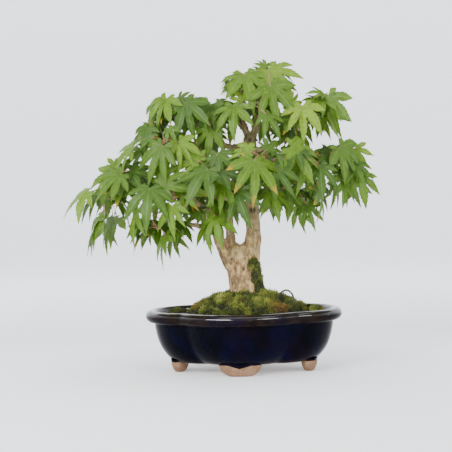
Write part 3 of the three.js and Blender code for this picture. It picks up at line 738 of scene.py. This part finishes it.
def at_height(outline, z):
    return [POT + Vector((x, y, z)) * MM for x, y in outline]


def make_bowl():
    """The pot without its feet, hollow and with its two drainage holes."""
    section = smooth_path(POT_SECTION, 3 * (len(POT_SECTION) - 1))
    underside, floor = lobed_outline(POT_SECTION[0][0]), lobed_outline(POT_SECTION[-1][0])
    rings = [at_height(underside * share, BODY_BOTTOM) for share in (0.3, 0.8)]
    rings += [at_height(lobed_outline(half_length), z) for half_length, z in section]
    rings += [at_height(floor * share, FLOOR_TOP) for share in (0.8, 0.3)]
    bowl = wrap_grid("pot_bowl", rings)
    for x in (-HOLE_X, HOLE_X):
        bpy.ops.mesh.primitive_cylinder_add(vertices=48, radius=HOLE_RADIUS * MM, depth=12 * MM,
                                            location=POT + Vector((x, 0, 11.5)) * MM)
        drill = bpy.context.object
        apply_modifier(bowl, "BOOLEAN", operation="DIFFERENCE", object=drill, solver="EXACT")
        discard(drill)
    return bowl


def make_foot(x, y, turn):
    rows = list(smooth_path(FOOT_SECTION, 15))
    rows.append((rows[-1][0] * 0.6, rows[-1][1] * 0.6, 0.0))
    spin = Matrix.Rotation(math.radians(turn), 3, "Z")
    rings = []
    for half_length, half_width, z in rows:
        ring = []
        for angle in ring_angles(FOOT_SIDES):
            c, s = math.cos(angle), math.sin(angle)
            flat = Vector((half_length * math.copysign(abs(c) ** FOOT_SQUARENESS, c),
                           half_width * math.copysign(abs(s) ** FOOT_SQUARENESS, s), z))
            ring.append(POT + (spin @ flat + Vector((x, y, 0))) * MM)
        rings.append(ring)
    return wrap_grid("pot_foot", rings)


def glaze_marks(place, normal):
    """How bare, thin and glossy the glaze is at a place in millimetres from the middle of the feet."""
    x, y, z = place
    across = min(abs(x) if abs(y) > 25 else abs(y), 11.0)  # from the middle of a foot
    line = 9.7 - 3.0 * (1 - across / 11.0) ** 1.2 + 0.4 * noise.noise(Vector((x, y, z)) * 0.2)
    inward = normal.x * x + normal.y * y < 0 or normal.z > 0.7
    bare = max(0.5 + (line - z) * 0.5, (47.0 - z) * 0.5 if inward else 0.0)
    lip = clamp((z - 43.0) * 0.7) * 0.8 + max(0.0, 1 - abs(z - 52.6) / 2.5) * 0.2
    thin = max(lip, 0.6 * max(0.0, 1 - abs(z - line - 1.2) / 1.4))
    gloss = clamp((normal.z - 0.12) * 4) * (z > 46)
    return clamp(bare), thin, gloss


def make_pot():
    pot = join("glazed_pot", [make_bowl(), *(make_foot(*foot) for foot in FEET)])
    marks = [glaze_marks((vertex.co - POT) / MM, vertex.normal) for vertex in pot.data.vertices]
    for name, values in zip(("bare", "thin", "gloss"), zip(*marks)):
        fill_attribute(pot, name, values)
    shade_smooth(pot, 50)
    finish_piece(pot, "pot", pot_finish())


# ---------------------------------------------------------------- soil and moss
def mound_height(x, y):
    """Height of the soil over its level at a place in the pot, in millimetres."""
    share = math.hypot((x - MOUND["x"]) / MOUND["rx"], y / MOUND["ry"])
    if share >= 1:
        return 0.0
    return MOUND["rise"] * (1 - share * share * (1.6 - 0.6 * share))


WALL_OUTLINE = lobed_outline(74.0)  # the inner side of the wall at the soil's level
WALL_BEARINGS = np.arctan2(WALL_OUTLINE[:, 1], WALL_OUTLINE[:, 0])


def inside_wall(x, y, margin):
    """Whether a place on the soil is at least margin millimetres inside the pot's wall."""
    turns = np.angle(np.exp(1j * (WALL_BEARINGS - math.atan2(y, x))))
    nearest = int(np.argmin(np.abs(turns)))
    return math.hypot(x, y) < math.hypot(*WALL_OUTLINE[nearest]) - margin


def on_soil(x, y, rise):
    """A place over the soil's surface, from millimetres in the pot."""
    return POT + Vector((x, y, SOIL_LEVEL + mound_height(x, y) + rise)) * MM


def make_grain_templates():
    """Three lumpy grains of unit radius."""
    templates = []
    for seed in range(3):
        bpy.ops.mesh.primitive_ico_sphere_add(subdivisions=1, radius=1)
        grain = bpy.context.object
        for vertex in grain.data.vertices:
            vertex.co *= 1 + 0.35 * noise.noise(vertex.co * 1.7 + Vector((seed * 9, 0, 0)))
        templates.append(grain)
    return templates


def make_soil(material):
    """The soil's body, which fills the pot, and a layer of loose grains where no moss covers it."""
    chance = random.Random(7)
    levels = [(55.4, 14.3), (65.9, 22.4), (70.3, 31.5), (73.1, 43.0), (74.6, SOIL_LEVEL - 0.8)]
    rings = [at_height(lobed_outline(half_length - 0.3, passes=5), z) for half_length, z in levels]
    edge = lobed_outline(74.3, passes=5)
    for share in np.linspace(0.97, 0.12, 22):
        rings.append([on_soil(x, y, 0.7 * noise.noise(Vector((x, y, 0)) * 0.35)) for x, y in edge * share])
    body = wrap_grid("soil_body", rings)
    fill_attribute(body, "shade", [0.12 + 0.2 * abs(noise.noise(v.co * 300)) for v in body.data.vertices])
    templates = make_grain_templates()
    places = []
    while len(places) < GRAIN_COUNT:
        x, y = chance.uniform(-75, 75), chance.uniform(-56, 56)
        mossy = math.hypot((x - MOUND["x"]) / 47, y / 35) < 1  # well under the moss cover
        if mossy or not inside_wall(x, y, 1.6):
            continue
        size = chance.choice((0.8, 1.0, 1.3, 1.7)) * chance.uniform(0.8, 1.2)
        turn = chance.uniform(0, 6.3)
        spin = Matrix.Rotation(turn, 4, (chance.random(), chance.random(), chance.random() + 0.1))
        matrix = Matrix.Translation(on_soil(x, y, 0.35 * size)) @ spin @ Matrix.Scale(size * MM, 4)
        places.append((chance.randrange(3), matrix, chance.betavariate(1.6, 2.6)))
    grains = scatter("soil_grain_layer", templates, places)
    discard(*templates)
    soil = join("soil_bed", [body, grains])
    shade_smooth(soil, 50)
    finish_piece(soil, "soil", material)


def make_tuft_templates():
    """Star-shaped moss tufts: one upright spike with shorter ones leaning out around it."""
    templates = []
    for seed in range(3):
        spikes = []
        for k in range(6):
            lean = 0.0 if k == 0 else math.radians(38 + 9 * ((k + seed) % 3))
            length = 1.5 if k == 0 else 1.1
            bpy.ops.mesh.primitive_cone_add(vertices=3, radius1=0.36, radius2=0.0, depth=length,
                                            location=(0, 0, 0.6))
            spike = bpy.context.object
            bearing = k * 1.257 + seed  # a fifth of a turn from one to the next
            spin = Matrix.Rotation(bearing, 4, "Z") @ Matrix.Rotation(lean, 4, "X")
            spike.matrix_world = spin @ spike.matrix_world
            settle(spike)
            spikes.append(spike)
        templates.append(join("tuft", spikes))
    return templates


def plant_moss(name, body, templates, spots, node, material):
    """Tufts planted on a moss body; each spot is a place, a normal, a size and a shade."""
    chance = random.Random(len(spots))
    places = []
    for place, normal, size, shade in spots:
        lean = normal.to_track_quat("Z", "Y").to_matrix().to_4x4()
        spin = Matrix.Rotation(chance.uniform(0, 6.3), 4, "Z")
        matrix = Matrix.Translation(place) @ lean @ spin @ Matrix.Scale(size * MM, 4)
        places.append((chance.randrange(3), matrix, shade))
    tufts = scatter(name + "_tufts", templates, places)
    heights = [coordinates(template)[:, 2] for template in templates]
    fill_attribute(tufts, "tip", np.concatenate([np.clip(heights[n] / 1.1, 0, 1) for n, _, _ in places]))
    # the bed under the tufts gets the dark colour of their feet: painted shade in the gaps between tufts
    fill_attribute(body, "shade", 0.2)
    fill_attribute(body, "tip", 0.1)
    moss = join(name, [body, tufts])
    finish_piece(moss, node, material)
    return moss


def surface_spots(body, count, seed, size, lowest=0.1):
    """Random places for tufts on faces whose normal's z is over lowest, more of them on larger faces."""
    chance = random.Random(seed)
    body.data.update()
    faces = [face for face in body.data.polygons if face.normal.z > lowest]
    areas = [face.area for face in faces]
    spots = []
    for face in chance.choices(faces, areas, k=count):
        corners = [body.data.vertices[i].co for i in face.vertices]
        weights = [chance.random() + 0.05 for _ in corners]
        place = sum((corner * weight for corner, weight in zip(corners, weights)), Vector()) / sum(weights)
        normal = (face.normal + Vector((0, 0, 0.7))).normalized()
        clump = 0.5 + 0.5 * noise.noise(place * 130)
        shade = clamp(0.15 + 0.75 * clump + chance.uniform(-0.22, 0.22))
        sprig = 2.1 if chance.random() < 0.2 else 1.0
        spots.append((place, normal, size * sprig * chance.uniform(0.7, 1.35) * (0.8 + 0.5 * clump), shade))
    return spots


def climb_trunk(templates, material):
    """Moss on the bark round the trunk's foot and along the strip: a skin of the bark with tufts on it."""
    bark_skin = bpy.data.objects["trunk_and_stems"]
    skin = bark_skin.copy()
    skin.data = bark_skin.data.copy()
    bpy.context.scene.collection.objects.link(skin)
    spine = [(to_world(row), row[3] * 1.35 * MM) for row in smooth_path(MOSS_STRIP, 20)]
    choose(skin)
    for face in skin.data.polygons:
        ragged = 1 + 0.55 * noise.noise(face.center * 260)
        collar = face.center.z < (64.0 + 9 * noise.noise(face.center * 90)) * MM
        strip = any((face.center - spot).length < radius * ragged for spot, radius in spine)
        face.select = not (collar or strip)
    bpy.ops.object.mode_set(mode="EDIT")
    bpy.ops.mesh.select_mode(type="FACE")
    bpy.ops.mesh.delete(type="FACE")
    bpy.ops.object.mode_set(mode="OBJECT")
    push_out(skin, lambda place: 0.15 * MM)
    spots = surface_spots(skin, STRIP_TUFTS, 5, 0.75, lowest=-0.25)
    apply_modifier(skin, "SOLIDIFY", thickness=0.5 * MM, offset=1, use_rim=True)
    plant_moss("moss_climbing", skin, templates, spots, "moss_on_trunk", material)


def make_clumps():
    """The moss cover's clumps: x, y, radius, height and hue."""
    chance = random.Random(40)
    clumps = []
    while len(clumps) < CLUMP_COUNT:
        x, y = chance.uniform(-50, 58), chance.uniform(-39, 39)
        if math.hypot((x - MOUND["x"]) / MOSS_REACH[0], y / MOSS_REACH[1]) < 1:
            clumps.append((x, y, chance.uniform(3.0, 6.5), chance.uniform(1.6, 4.2), chance.random()))
    return np.array(clumps)


def clump_at(clumps, x, y):
    """How high the clump that covers a place rises there, and its hue."""
    spans = np.hypot(clumps[:, 0] - x, clumps[:, 1] - y)
    near = np.argsort(spans)[:6]
    rises = clumps[near, 3] * (1 - (spans[near] / clumps[near, 2]) ** 2)
    best = int(np.argmax(rises))
    return max(0.0, rises[best]), clumps[near[best], 4]


def make_moss_cover(outline, templates, material):
    """The moss on the mound: a clumpy bed, its tufts and a dry, rusty patch."""
    clumps = make_clumps()
    edge = [(1.0, -3.0), (1.0, 0.1), (0.985, 0.9), (0.965, 1.5)]  # share of the reach and lift over the soil
    rings = []
    for share, lift in edge + [(share, 1.9) for share in np.linspace(0.94, 0.14, 46)]:
        ring = []
        for c, s in outline:
            uneven = 1 + 0.055 * noise.noise(Vector((c * 2.2, s * 2.2, 3)))
            x = MOUND["x"] + MOSS_REACH[0] * share * uneven * c
            y = MOSS_REACH[1] * share * uneven * s
            bump = clump_at(clumps, x, y)[0] if lift > 1 else 0.0
            ring.append(on_soil(x, y, lift + bump))
        rings.append(ring)
    mound = wrap_grid("moss_bed", rings)
    spots = []
    for place, normal, size, shade in surface_spots(mound, MOUND_TUFTS, 21, 1.12):
        x, y, _ = (place - POT) / MM
        rise, hue = clump_at(clumps, x, y)
        # tufts low in the gaps between clumps come out darker and those high on a clump lighter: painted
        # shade in the gaps, with the clump's hue and chance on top
        shade = clamp(0.11 * rise + 0.36 * hue * min(1.0, rise / 1.5) + 0.6 * (shade - 0.5))
        spots.append((place, normal, size * (0.75 + 0.5 * hue), shade))
    cover = plant_moss("moss_cover", mound, templates, spots, "moss_mound", material)
    rust = []
    for vertex in cover.data.vertices:
        x, y, _ = (vertex.co - POT) / MM
        away = math.hypot(x - RUSTY_PATCH["x"], y - RUSTY_PATCH["y"]) / RUSTY_PATCH["radius"]
        rust.append(clamp(1.2 - 1.3 * away + 1.6 * noise.noise(vertex.co * 240), 0.8) if away < 1.9 else 0.0)
    fill_attribute(cover, "rust", rust)


def make_moss_patch(node, x, y, rx, ry, height, tone, outline, templates, material):
    """A low cushion of moss near the rim; a smaller tone is a darker patch."""
    rings = []
    for share, rise in [(1, -0.1), (0.97, 0.25), (0.86, 0.5), (0.68, 0.76), (0.45, 0.93), (0.2, 1)]:
        ring = []
        for c, s in outline:
            along = x + rx * share * c * (1 + 0.12 * noise.noise(Vector((c, s, x)) * 2))
            across = y + ry * share * s * (1 + 0.12 * noise.noise(Vector((s, c, x)) * 2))
            ring.append(POT + Vector((along, across, SOIL_LEVEL + height * rise)) * MM)
        rings.append(ring)
    patch = wrap_grid(node + "_bed", rings)
    spots = [(place, normal, size, shade * tone) for place, normal, size, shade
             in surface_spots(patch, PATCH_TUFTS, int(x), 0.9)]
    plant_moss(node + "_cover", patch, templates, spots, node, material)


def make_moss(material):
    templates = make_tuft_templates()
    outline = [(math.cos(a), math.sin(a)) for a in ring_angles(150)]
    make_moss_cover(outline, templates, material)
    for node, x, y, rx, ry, height, tone in (("moss_patch_right", 62, 8, 6, 11, 4.5, 0.9),
                                             ("moss_patch_left", -59, 12, 7.5, 11, 3.5, 0.5)):
        make_moss_patch(node, x, y, rx, ry, height, tone, outline[::3], templates, material)
    climb_trunk(templates, material)
    discard(*templates)


# ---------------------------------------------------------------- wood
def mark_bark(obj, scars):
    """Writes where the bark is young and green and where it is scarred."""
    young, scar = [], []
    for vertex in obj.data.vertices:
        local = (vertex.co - POT) / MM
        young.append(clamp((local.z - 92) / 45 + 0.4 * noise.noise(local * 0.06)))
        nearest = min(((vertex.co - to_world(spot)).length / MM - radius for *spot, radius in scars),
                      default=9)
        scar.append(clamp(1 - nearest / 1.2) * 0.85)
    fill_attribute(obj, "young", young)
    fill_attribute(obj, "scar", scar)


def make_trunk(material):
    rings = []
    for cx, cy, rx, ry, z in smooth_path(TRUNK_BASE, 40):
        ring = []
        root = clamp((78 - z) / 15)
        for angle in ring_angles(64):
            flare = 1 + 0.10 * math.sin(5 * angle + 1) * root + 0.03 * math.sin(3 * angle + z * 0.05)
            ring.append(to_world((cx + rx * flare * math.cos(angle), cy + ry * flare * math.sin(angle), z)))
        rings.append(ring)
    parts = [wrap_grid("trunk_base", rings)]
    for name, points in STEMS.items():
        parts.append(limb("stem_" + name, points, 40, 28, uneven=0.12))
    for *place, radius in KNOTS:
        bpy.ops.mesh.primitive_uv_sphere_add(segments=20, ring_count=12, radius=radius * MM,
                                             location=to_world(place))
        parts.append(bpy.context.object)
    trunk = join("trunk_and_stems", parts)
    settle(trunk)
    apply_modifier(trunk, "REMESH", mode="VOXEL", voxel_size=BARK_VOXEL * MM)
    apply_modifier(trunk, "SMOOTH", factor=0.6, iterations=9)

    def relief(place):
        """Height of the bark's relief, rougher on the old wood."""
        local = (place - POT) / MM
        old = min(1.0, max(0.15, (128 - local.z) / 45))
        ridge = noise.fractal(Vector((local.x, local.y, local.z * 0.3)) * 0.2, 1.0, 2.0, 4)
        lump = noise.noise(local * 0.075)
        fine = noise.noise(Vector((local.x, local.y, local.z * 0.5)) * 0.75)
        return (0.75 * ridge * old + 0.8 * lump * old + 0.16 * fine) * MM

    push_out(trunk, relief)
    mark_bark(trunk, SCARS)
    shade_smooth(trunk)
    finish_piece(trunk, "trunk", material)


def make_branch(name, points, material):
    path = smooth_path(points, 12 * len(points))
    chance = random.Random(name)
    radii = []
    for i, row in enumerate(path):
        collar = 1 + 0.45 * math.exp(-i / 2.5)  # thicker where it leaves the stem
        node = 0.22 * max(0.0, math.cos(i * 2 * math.pi / 11) - 0.75) / 0.25  # a swelling every eleventh ring
        radii.append(row[3] * collar * (1 + node) * MM)
    wander = [Vector((chance.uniform(-1, 1), chance.uniform(-1, 1), chance.uniform(-1, 1))) * 0.25 * MM
              for _ in path]
    centres = [to_world(row) + shift for row, shift in zip(path, wander)]
    branch = wrap_grid(name + "_wood", tube_rings(centres, radii, 14))
    mark_bark(branch, [])
    shade_smooth(branch)
    finish_piece(branch, name, material)


# ---------------------------------------------------------------- foliage
LOBES = [(0, 1.0), (38, 0.90), (-38, 0.90), (76, 0.66), (-76, 0.66), (114, 0.32), (-114, 0.32)]
WEB = 0.29  # how far out from the stalk the lobes are joined, in lobe lengths
# half width of a lobe, in webs, at shares of the way from the web to its tip; every other row is a tooth
LOBE_ROWS = [(0.0, 0.345), (0.10, 0.41), (0.14, 0.37), (0.27, 0.48), (0.31, 0.41), (0.43, 0.47), (0.47, 0.38),
             (0.58, 0.38), (0.62, 0.29), (0.73, 0.25), (0.77, 0.17), (0.88, 0.10), (1.0, 0.0)]


def make_leaf_template():
    """A palmate leaf of unit lobe length: seven toothed lobes, joined by a web and given thickness."""
    lobes = []
    for degrees, length in LOBES:
        web = WEB if length > 0.5 else 0.13
        rows = [(0.0, 0.0), (web / 2, web / 2 * math.tan(math.radians(19)))]
        rows += [(web + (length - web) * share, width * WEB * (0.45 + 0.55 * length if share else web / WEB))
                 for share, width in LOBE_ROWS]
        bpy.ops.mesh.primitive_grid_add(x_subdivisions=2, y_subdivisions=len(rows) - 1)
        lobe = bpy.context.object
        turn = Matrix.Rotation(math.radians(-degrees), 3, "Z")
        for i, vertex in enumerate(lobe.data.vertices):
            reach, half = rows[i // 3]
            vertex.co = turn @ Vector(((i % 3 - 1) * half, reach, 0))
            vertex.co.z = 0.35 * half * (i % 3 != 1) - 0.16 * max(0.0, reach - web) ** 2
        uv = lobe.data.uv_layers.active.data
        for loop in lobe.data.loops:
            uv[loop.index].uv = ((loop.vertex_index % 3) / 2, rows[loop.vertex_index // 3][0] / length)
        lobes.append(lobe)
    leaf = join("leaf_template", lobes)
    bpy.ops.object.mode_set(mode="EDIT")
    bpy.ops.mesh.select_all(action="SELECT")
    bpy.ops.mesh.remove_doubles(threshold=0.004)
    bpy.ops.mesh.select_all(action="SELECT")
    bpy.ops.mesh.normals_make_consistent(inside=False)
    bpy.ops.object.mode_set(mode="OBJECT")
    if sum(face.normal.z * face.area for face in leaf.data.polygons) < 0:
        leaf.data.flip_normals()
    top_faces = len(leaf.data.polygons)
    apply_modifier(leaf, "SOLIDIFY", thickness=0.009, offset=-1, use_rim=True)
    under = [1.0 if top_faces <= i < 2 * top_faces else 0.0 for i in range(len(leaf.data.polygons))]
    fill_attribute(leaf, "under", under, domain="FACE")
    return leaf


def leaf_turn(x, y, heading, order, roll):
    """Turn of a blade: its middle lobe runs along its heading and its face looks outwards and up."""
    out = 1 if y > 0 else -1
    angle = math.radians(heading)
    normal = Vector((0.004 * x + 0.25 * math.sin(order * WOBBLE), 0.85 * out,
                     0.5 + 0.2 * math.cos(order * WOBBLE))).normalized()
    middle = Vector((math.cos(angle), 0, math.sin(angle)))
    middle = (middle - normal * middle.dot(normal)).normalized()
    normal.rotate(Quaternion(middle, math.radians(-out * roll)))
    return middle, normal


def add_leaf(template, base, middle, normal, length, tone, dry, chance):
    """One bent copy of the leaf template at its place in the tree's own frame."""
    leaf = template.copy()
    leaf.data = template.data.copy()
    bpy.context.scene.collection.objects.link(leaf)
    points = coordinates(template)
    reach = np.hypot(points[:, 0], points[:, 1])
    droop, cup, twist = chance.uniform(0.05, 0.30), chance.uniform(-0.25, 0.30), chance.uniform(-0.25, 0.25)
    bend = points.copy()
    bearing = np.arctan2(points[:, 0], points[:, 1])
    wander = 0.10 * np.sin(bearing * 2.3 + chance.uniform(0, 6)) * reach  # the lobes are not evenly spread
    bend[:, 0] += wander * np.cos(bearing)
    bend[:, 1] -= wander * np.sin(bearing)
    bend[:, 2] += cup * np.abs(points[:, 0]) * 0.6 - droop * reach ** 2 + twist * points[:, 0] * points[:, 1]
    bend[:, 2] += 0.10 * np.sin(bearing * 4.1 + chance.uniform(0, 6)) * reach ** 2
    bend[:, 0] *= chance.uniform(0.82, 1.0)
    side = middle.cross(normal)
    turn = np.array([list(side), list(middle), list(normal)])
    placed = bend * length @ turn + np.array(base)
    placed[:, 2] -= chance.uniform(0.05, 0.16) * length * reach ** 2
    spun = [to_world(point) for point in placed]
    leaf.data.vertices.foreach_set("co", np.ravel(spun))
    fill_attribute(leaf, "tone", np.clip(tone + chance.uniform(-0.05, 0.05) + 0.06 * reach, 0, 1))
    fill_attribute(leaf, "dry", dry)
    return leaf


def nearest_wood(hub):
    """The place on a stem's or branch's middle line that is nearest to a spray's hub."""
    best = None
    for points in [*STEMS.values(), *BRANCHES.values()]:
        for row in smooth_path(points, 24):
            spot = Vector(row[:3])
            if best is None or (spot - hub).length < (best - hub).length:
                best = spot
    return best


def thin_tube(points, radii, sides, tone):
    """A twig or stalk in the tree's own frame, its ends closed."""
    rows = smooth_path([(*point, radius) for point, radius in zip(points, radii)], 3 * (len(points) - 1) + 1)
    path = [to_world(row) for row in rows]
    tube = wrap_grid("twig", tube_rings(path, [row[3] * MM for row in rows], sides))
    fill_attribute(tube, "tone", tone)
    return tube


def leaf_pairs(nodes, run, chance):
    """A pair of leaves at each node of a twig or branch: base, node, direction, face and length of each."""
    side = run.cross(Vector((0, 0, 1))).normalized() if run.length else Vector((1, 0, 0))
    leaves = []
    for node in nodes:
        for hand in (-1, 1):
            away = (side * hand + run.normalized() * chance.uniform(0.1, 0.5)).normalized()
            if abs(node.x) > 62 and away.x * node.x > 0.4 * abs(node.x):  # it would stick out of the crown
                continue
            base = node + away * chance.uniform(6, 11) + Vector((0, 0, chance.uniform(0, 4)))
            droop = chance.uniform(0.25, 0.75)
            middle = (away - Vector((0, 0, droop))).normalized()
            face = Vector((chance.uniform(-0.25, 0.25), chance.uniform(-0.25, 0.25), 1))
            face = (face - middle * face.dot(middle)).normalized()
            length = chance.uniform(14, 18) if node.z > 232 else chance.uniform(20, 28)
            leaves.append((base, node, middle, face, length))
    return leaves


def make_spray(name, kind, hub, leaves, order, template, materials):
    """A twig with its bud, stalks and leaves, joined into one piece."""
    chance = random.Random(order * 31 + 5)
    hub = Vector(hub)
    root = nearest_wood(hub)
    bend = root.lerp(hub, 0.5) + Vector((0, 0, 0.08 * (hub - root).length))
    end = hub + (hub - bend).normalized() * 1.5
    blades = []
    wood = [thin_tube([root, bend, end], [1.15, 1.0, 0.75], 8, 0.15)]
    tone_of_spray = 0.52 if "pale" in kind else 0.42
    for i, (x, y, z, heading, length, *roll) in enumerate(leaves):
        middle, normal = leaf_turn(x, y, heading, order * 5 + i, sum(roll))
        base = Vector((x, y, z))
        tone = tone_of_spray + 0.17 * math.sin(i * 2.4 + order) + 0.0011 * (z - 190)
        dry = 0.6 if (i + 2 * order) % 13 == 5 else 0.0
        blades.append(add_leaf(template, base, middle, normal, length * 1.03, tone, dry, chance))
        arch = hub.lerp(base, 0.55) + Vector((0, 0, 0.12 * (base - hub).length))
        wood.append(thin_tube([hub, arch, base + middle * 0.6], [0.5, 0.38, 0.42], 6, 0.62))
    shares = (0.35, 0.68) if (hub - root).length > 26 else (0.55,)
    pairs = leaf_pairs([root.lerp(hub, share) for share in shares], hub - root, chance)
    # the leaves in pairs along the twig, inside the spray, get a darker tone: painted shade
    add_pairs(pairs, tone_of_spray - 0.14, template, blades, wood, chance)
    bud = (end - bend).normalized()
    wood.append(thin_tube([end - bud, end + bud * 1.2, end + bud * 3.2], [0.8, 1.1, 0.15], 8, 0.6))
    piece = finish_foliage(name + "_leaves", wood, blades, materials)
    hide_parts(name)


def add_pairs(pairs, tone, template, blades, wood, chance):
    """Adds the blades and stalks of the pairs to the lists."""
    for base, node, middle, face, length in pairs:
        shade = tone + chance.uniform(-0.14, 0.14)
        dry = chance.choice((0, 0, 0, 0.7))
        blades.append(add_leaf(template, base, middle, face, length, shade, dry, chance))
        arch = node.lerp(base, 0.55) + Vector((0, 0, 1.2))
        wood.append(thin_tube([node, arch, base + middle * 0.6], [0.5, 0.36, 0.4], 6, 0.62))


def finish_foliage(name, wood, blades, materials):
    """Joins blades and wood, the blades with the first material and the wood with the second."""
    twig = join("twigs", wood)
    foliage = join("foliage", blades)
    for obj in (twig, foliage):
        for material in materials:
            obj.data.materials.append(material)
    twig.data.polygons.foreach_set("material_index", np.ones(len(twig.data.polygons), dtype=np.int32))
    piece = join(name, [foliage, twig])
    shade_smooth(piece, 60)
    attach(piece, "root")
    return piece


def make_branch_leaves(name, points, order, template, materials):
    """Leaves in pairs along a branch, in the middle of the crown."""
    chance = random.Random(order * 17 + 3)
    path = [Vector(row[:3]) for row in smooth_path(points, 20)]
    wood, blades = [], []
    for at in LEAF_STATIONS:
        pairs = leaf_pairs([path[at]], path[at + 1] - path[at - 1], chance)
        # these leaves in the middle of the crown get a darker tone than the outer sprays: painted shade
        add_pairs(pairs, 0.36, template, blades, wood, chance)
    finish_foliage(name + "_leaves", wood, blades, materials)


def back_leaves(leaves):
    """The back of the crown repeats the front's leaves turned over in depth, a little smaller."""
    return [(x * 0.97, -y * 0.98, z - 2, heading + 14 * math.cos(i + x), length * 0.96, *roll)
            for i, (x, y, z, heading, length, *roll) in enumerate(leaves)]


def make_foliage():
    template = make_leaf_template()
    materials = [leaf_finish(), stalk_finish()]
    sprays = [(name, kind, hub, leaves + back_leaves(leaves) if "around" in kind else leaves)
              for name, kind, hub, leaves in SPRAYS]
    sprays += [(name + "_back", kind, (hub[0] * 0.98, -hub[1], hub[2] - 1), back_leaves(leaves))
               for name, kind, hub, leaves in SPRAYS if "around" not in kind]
    for order, (name, kind, hub, leaves) in enumerate(sprays):
        make_spray("spray_" + name, kind, hub, leaves, order, template, materials)
    for order, name in enumerate(LEAFY_BRANCHES):
        make_branch_leaves(name, BRANCHES[name], order, template, materials)
    discard(template)


# ---------------------------------------------------------------- small pieces
def make_anchor_wire(material):
    rows = smooth_path(WIRE_LOOP, 40)
    rings = tube_rings([to_world(row) for row in rows], [WIRE_RADIUS * MM] * len(rows), 14)
    wire = wrap_grid("anchor_wire_loop", rings)
    shade_smooth(wire)
    finish_piece(wire, "anchor_wire", material)


def finish_meshes(material):
    """The drainage meshes keep their own shape and only get a material."""
    for name in ("drainage_mesh_left", "drainage_mesh_right"):
        node = bpy.data.objects[name]
        node.data.materials.clear()
        node.data.materials.append(material)


# ---------------------------------------------------------------- the scene
right_of_view, towards_camera = make_camera()
light_scene(right_of_view, towards_camera)
make_stage(towards_camera)
make_pot()
make_soil(soil_finish())
bark = bark_finish()
make_trunk(bark)
make_moss(moss_finish())
for branch_name, branch_points in BRANCHES.items():
    make_branch(branch_name, branch_points, bark)
make_foliage()
make_anchor_wire(wire_finish())
finish_meshes(mesh_finish())
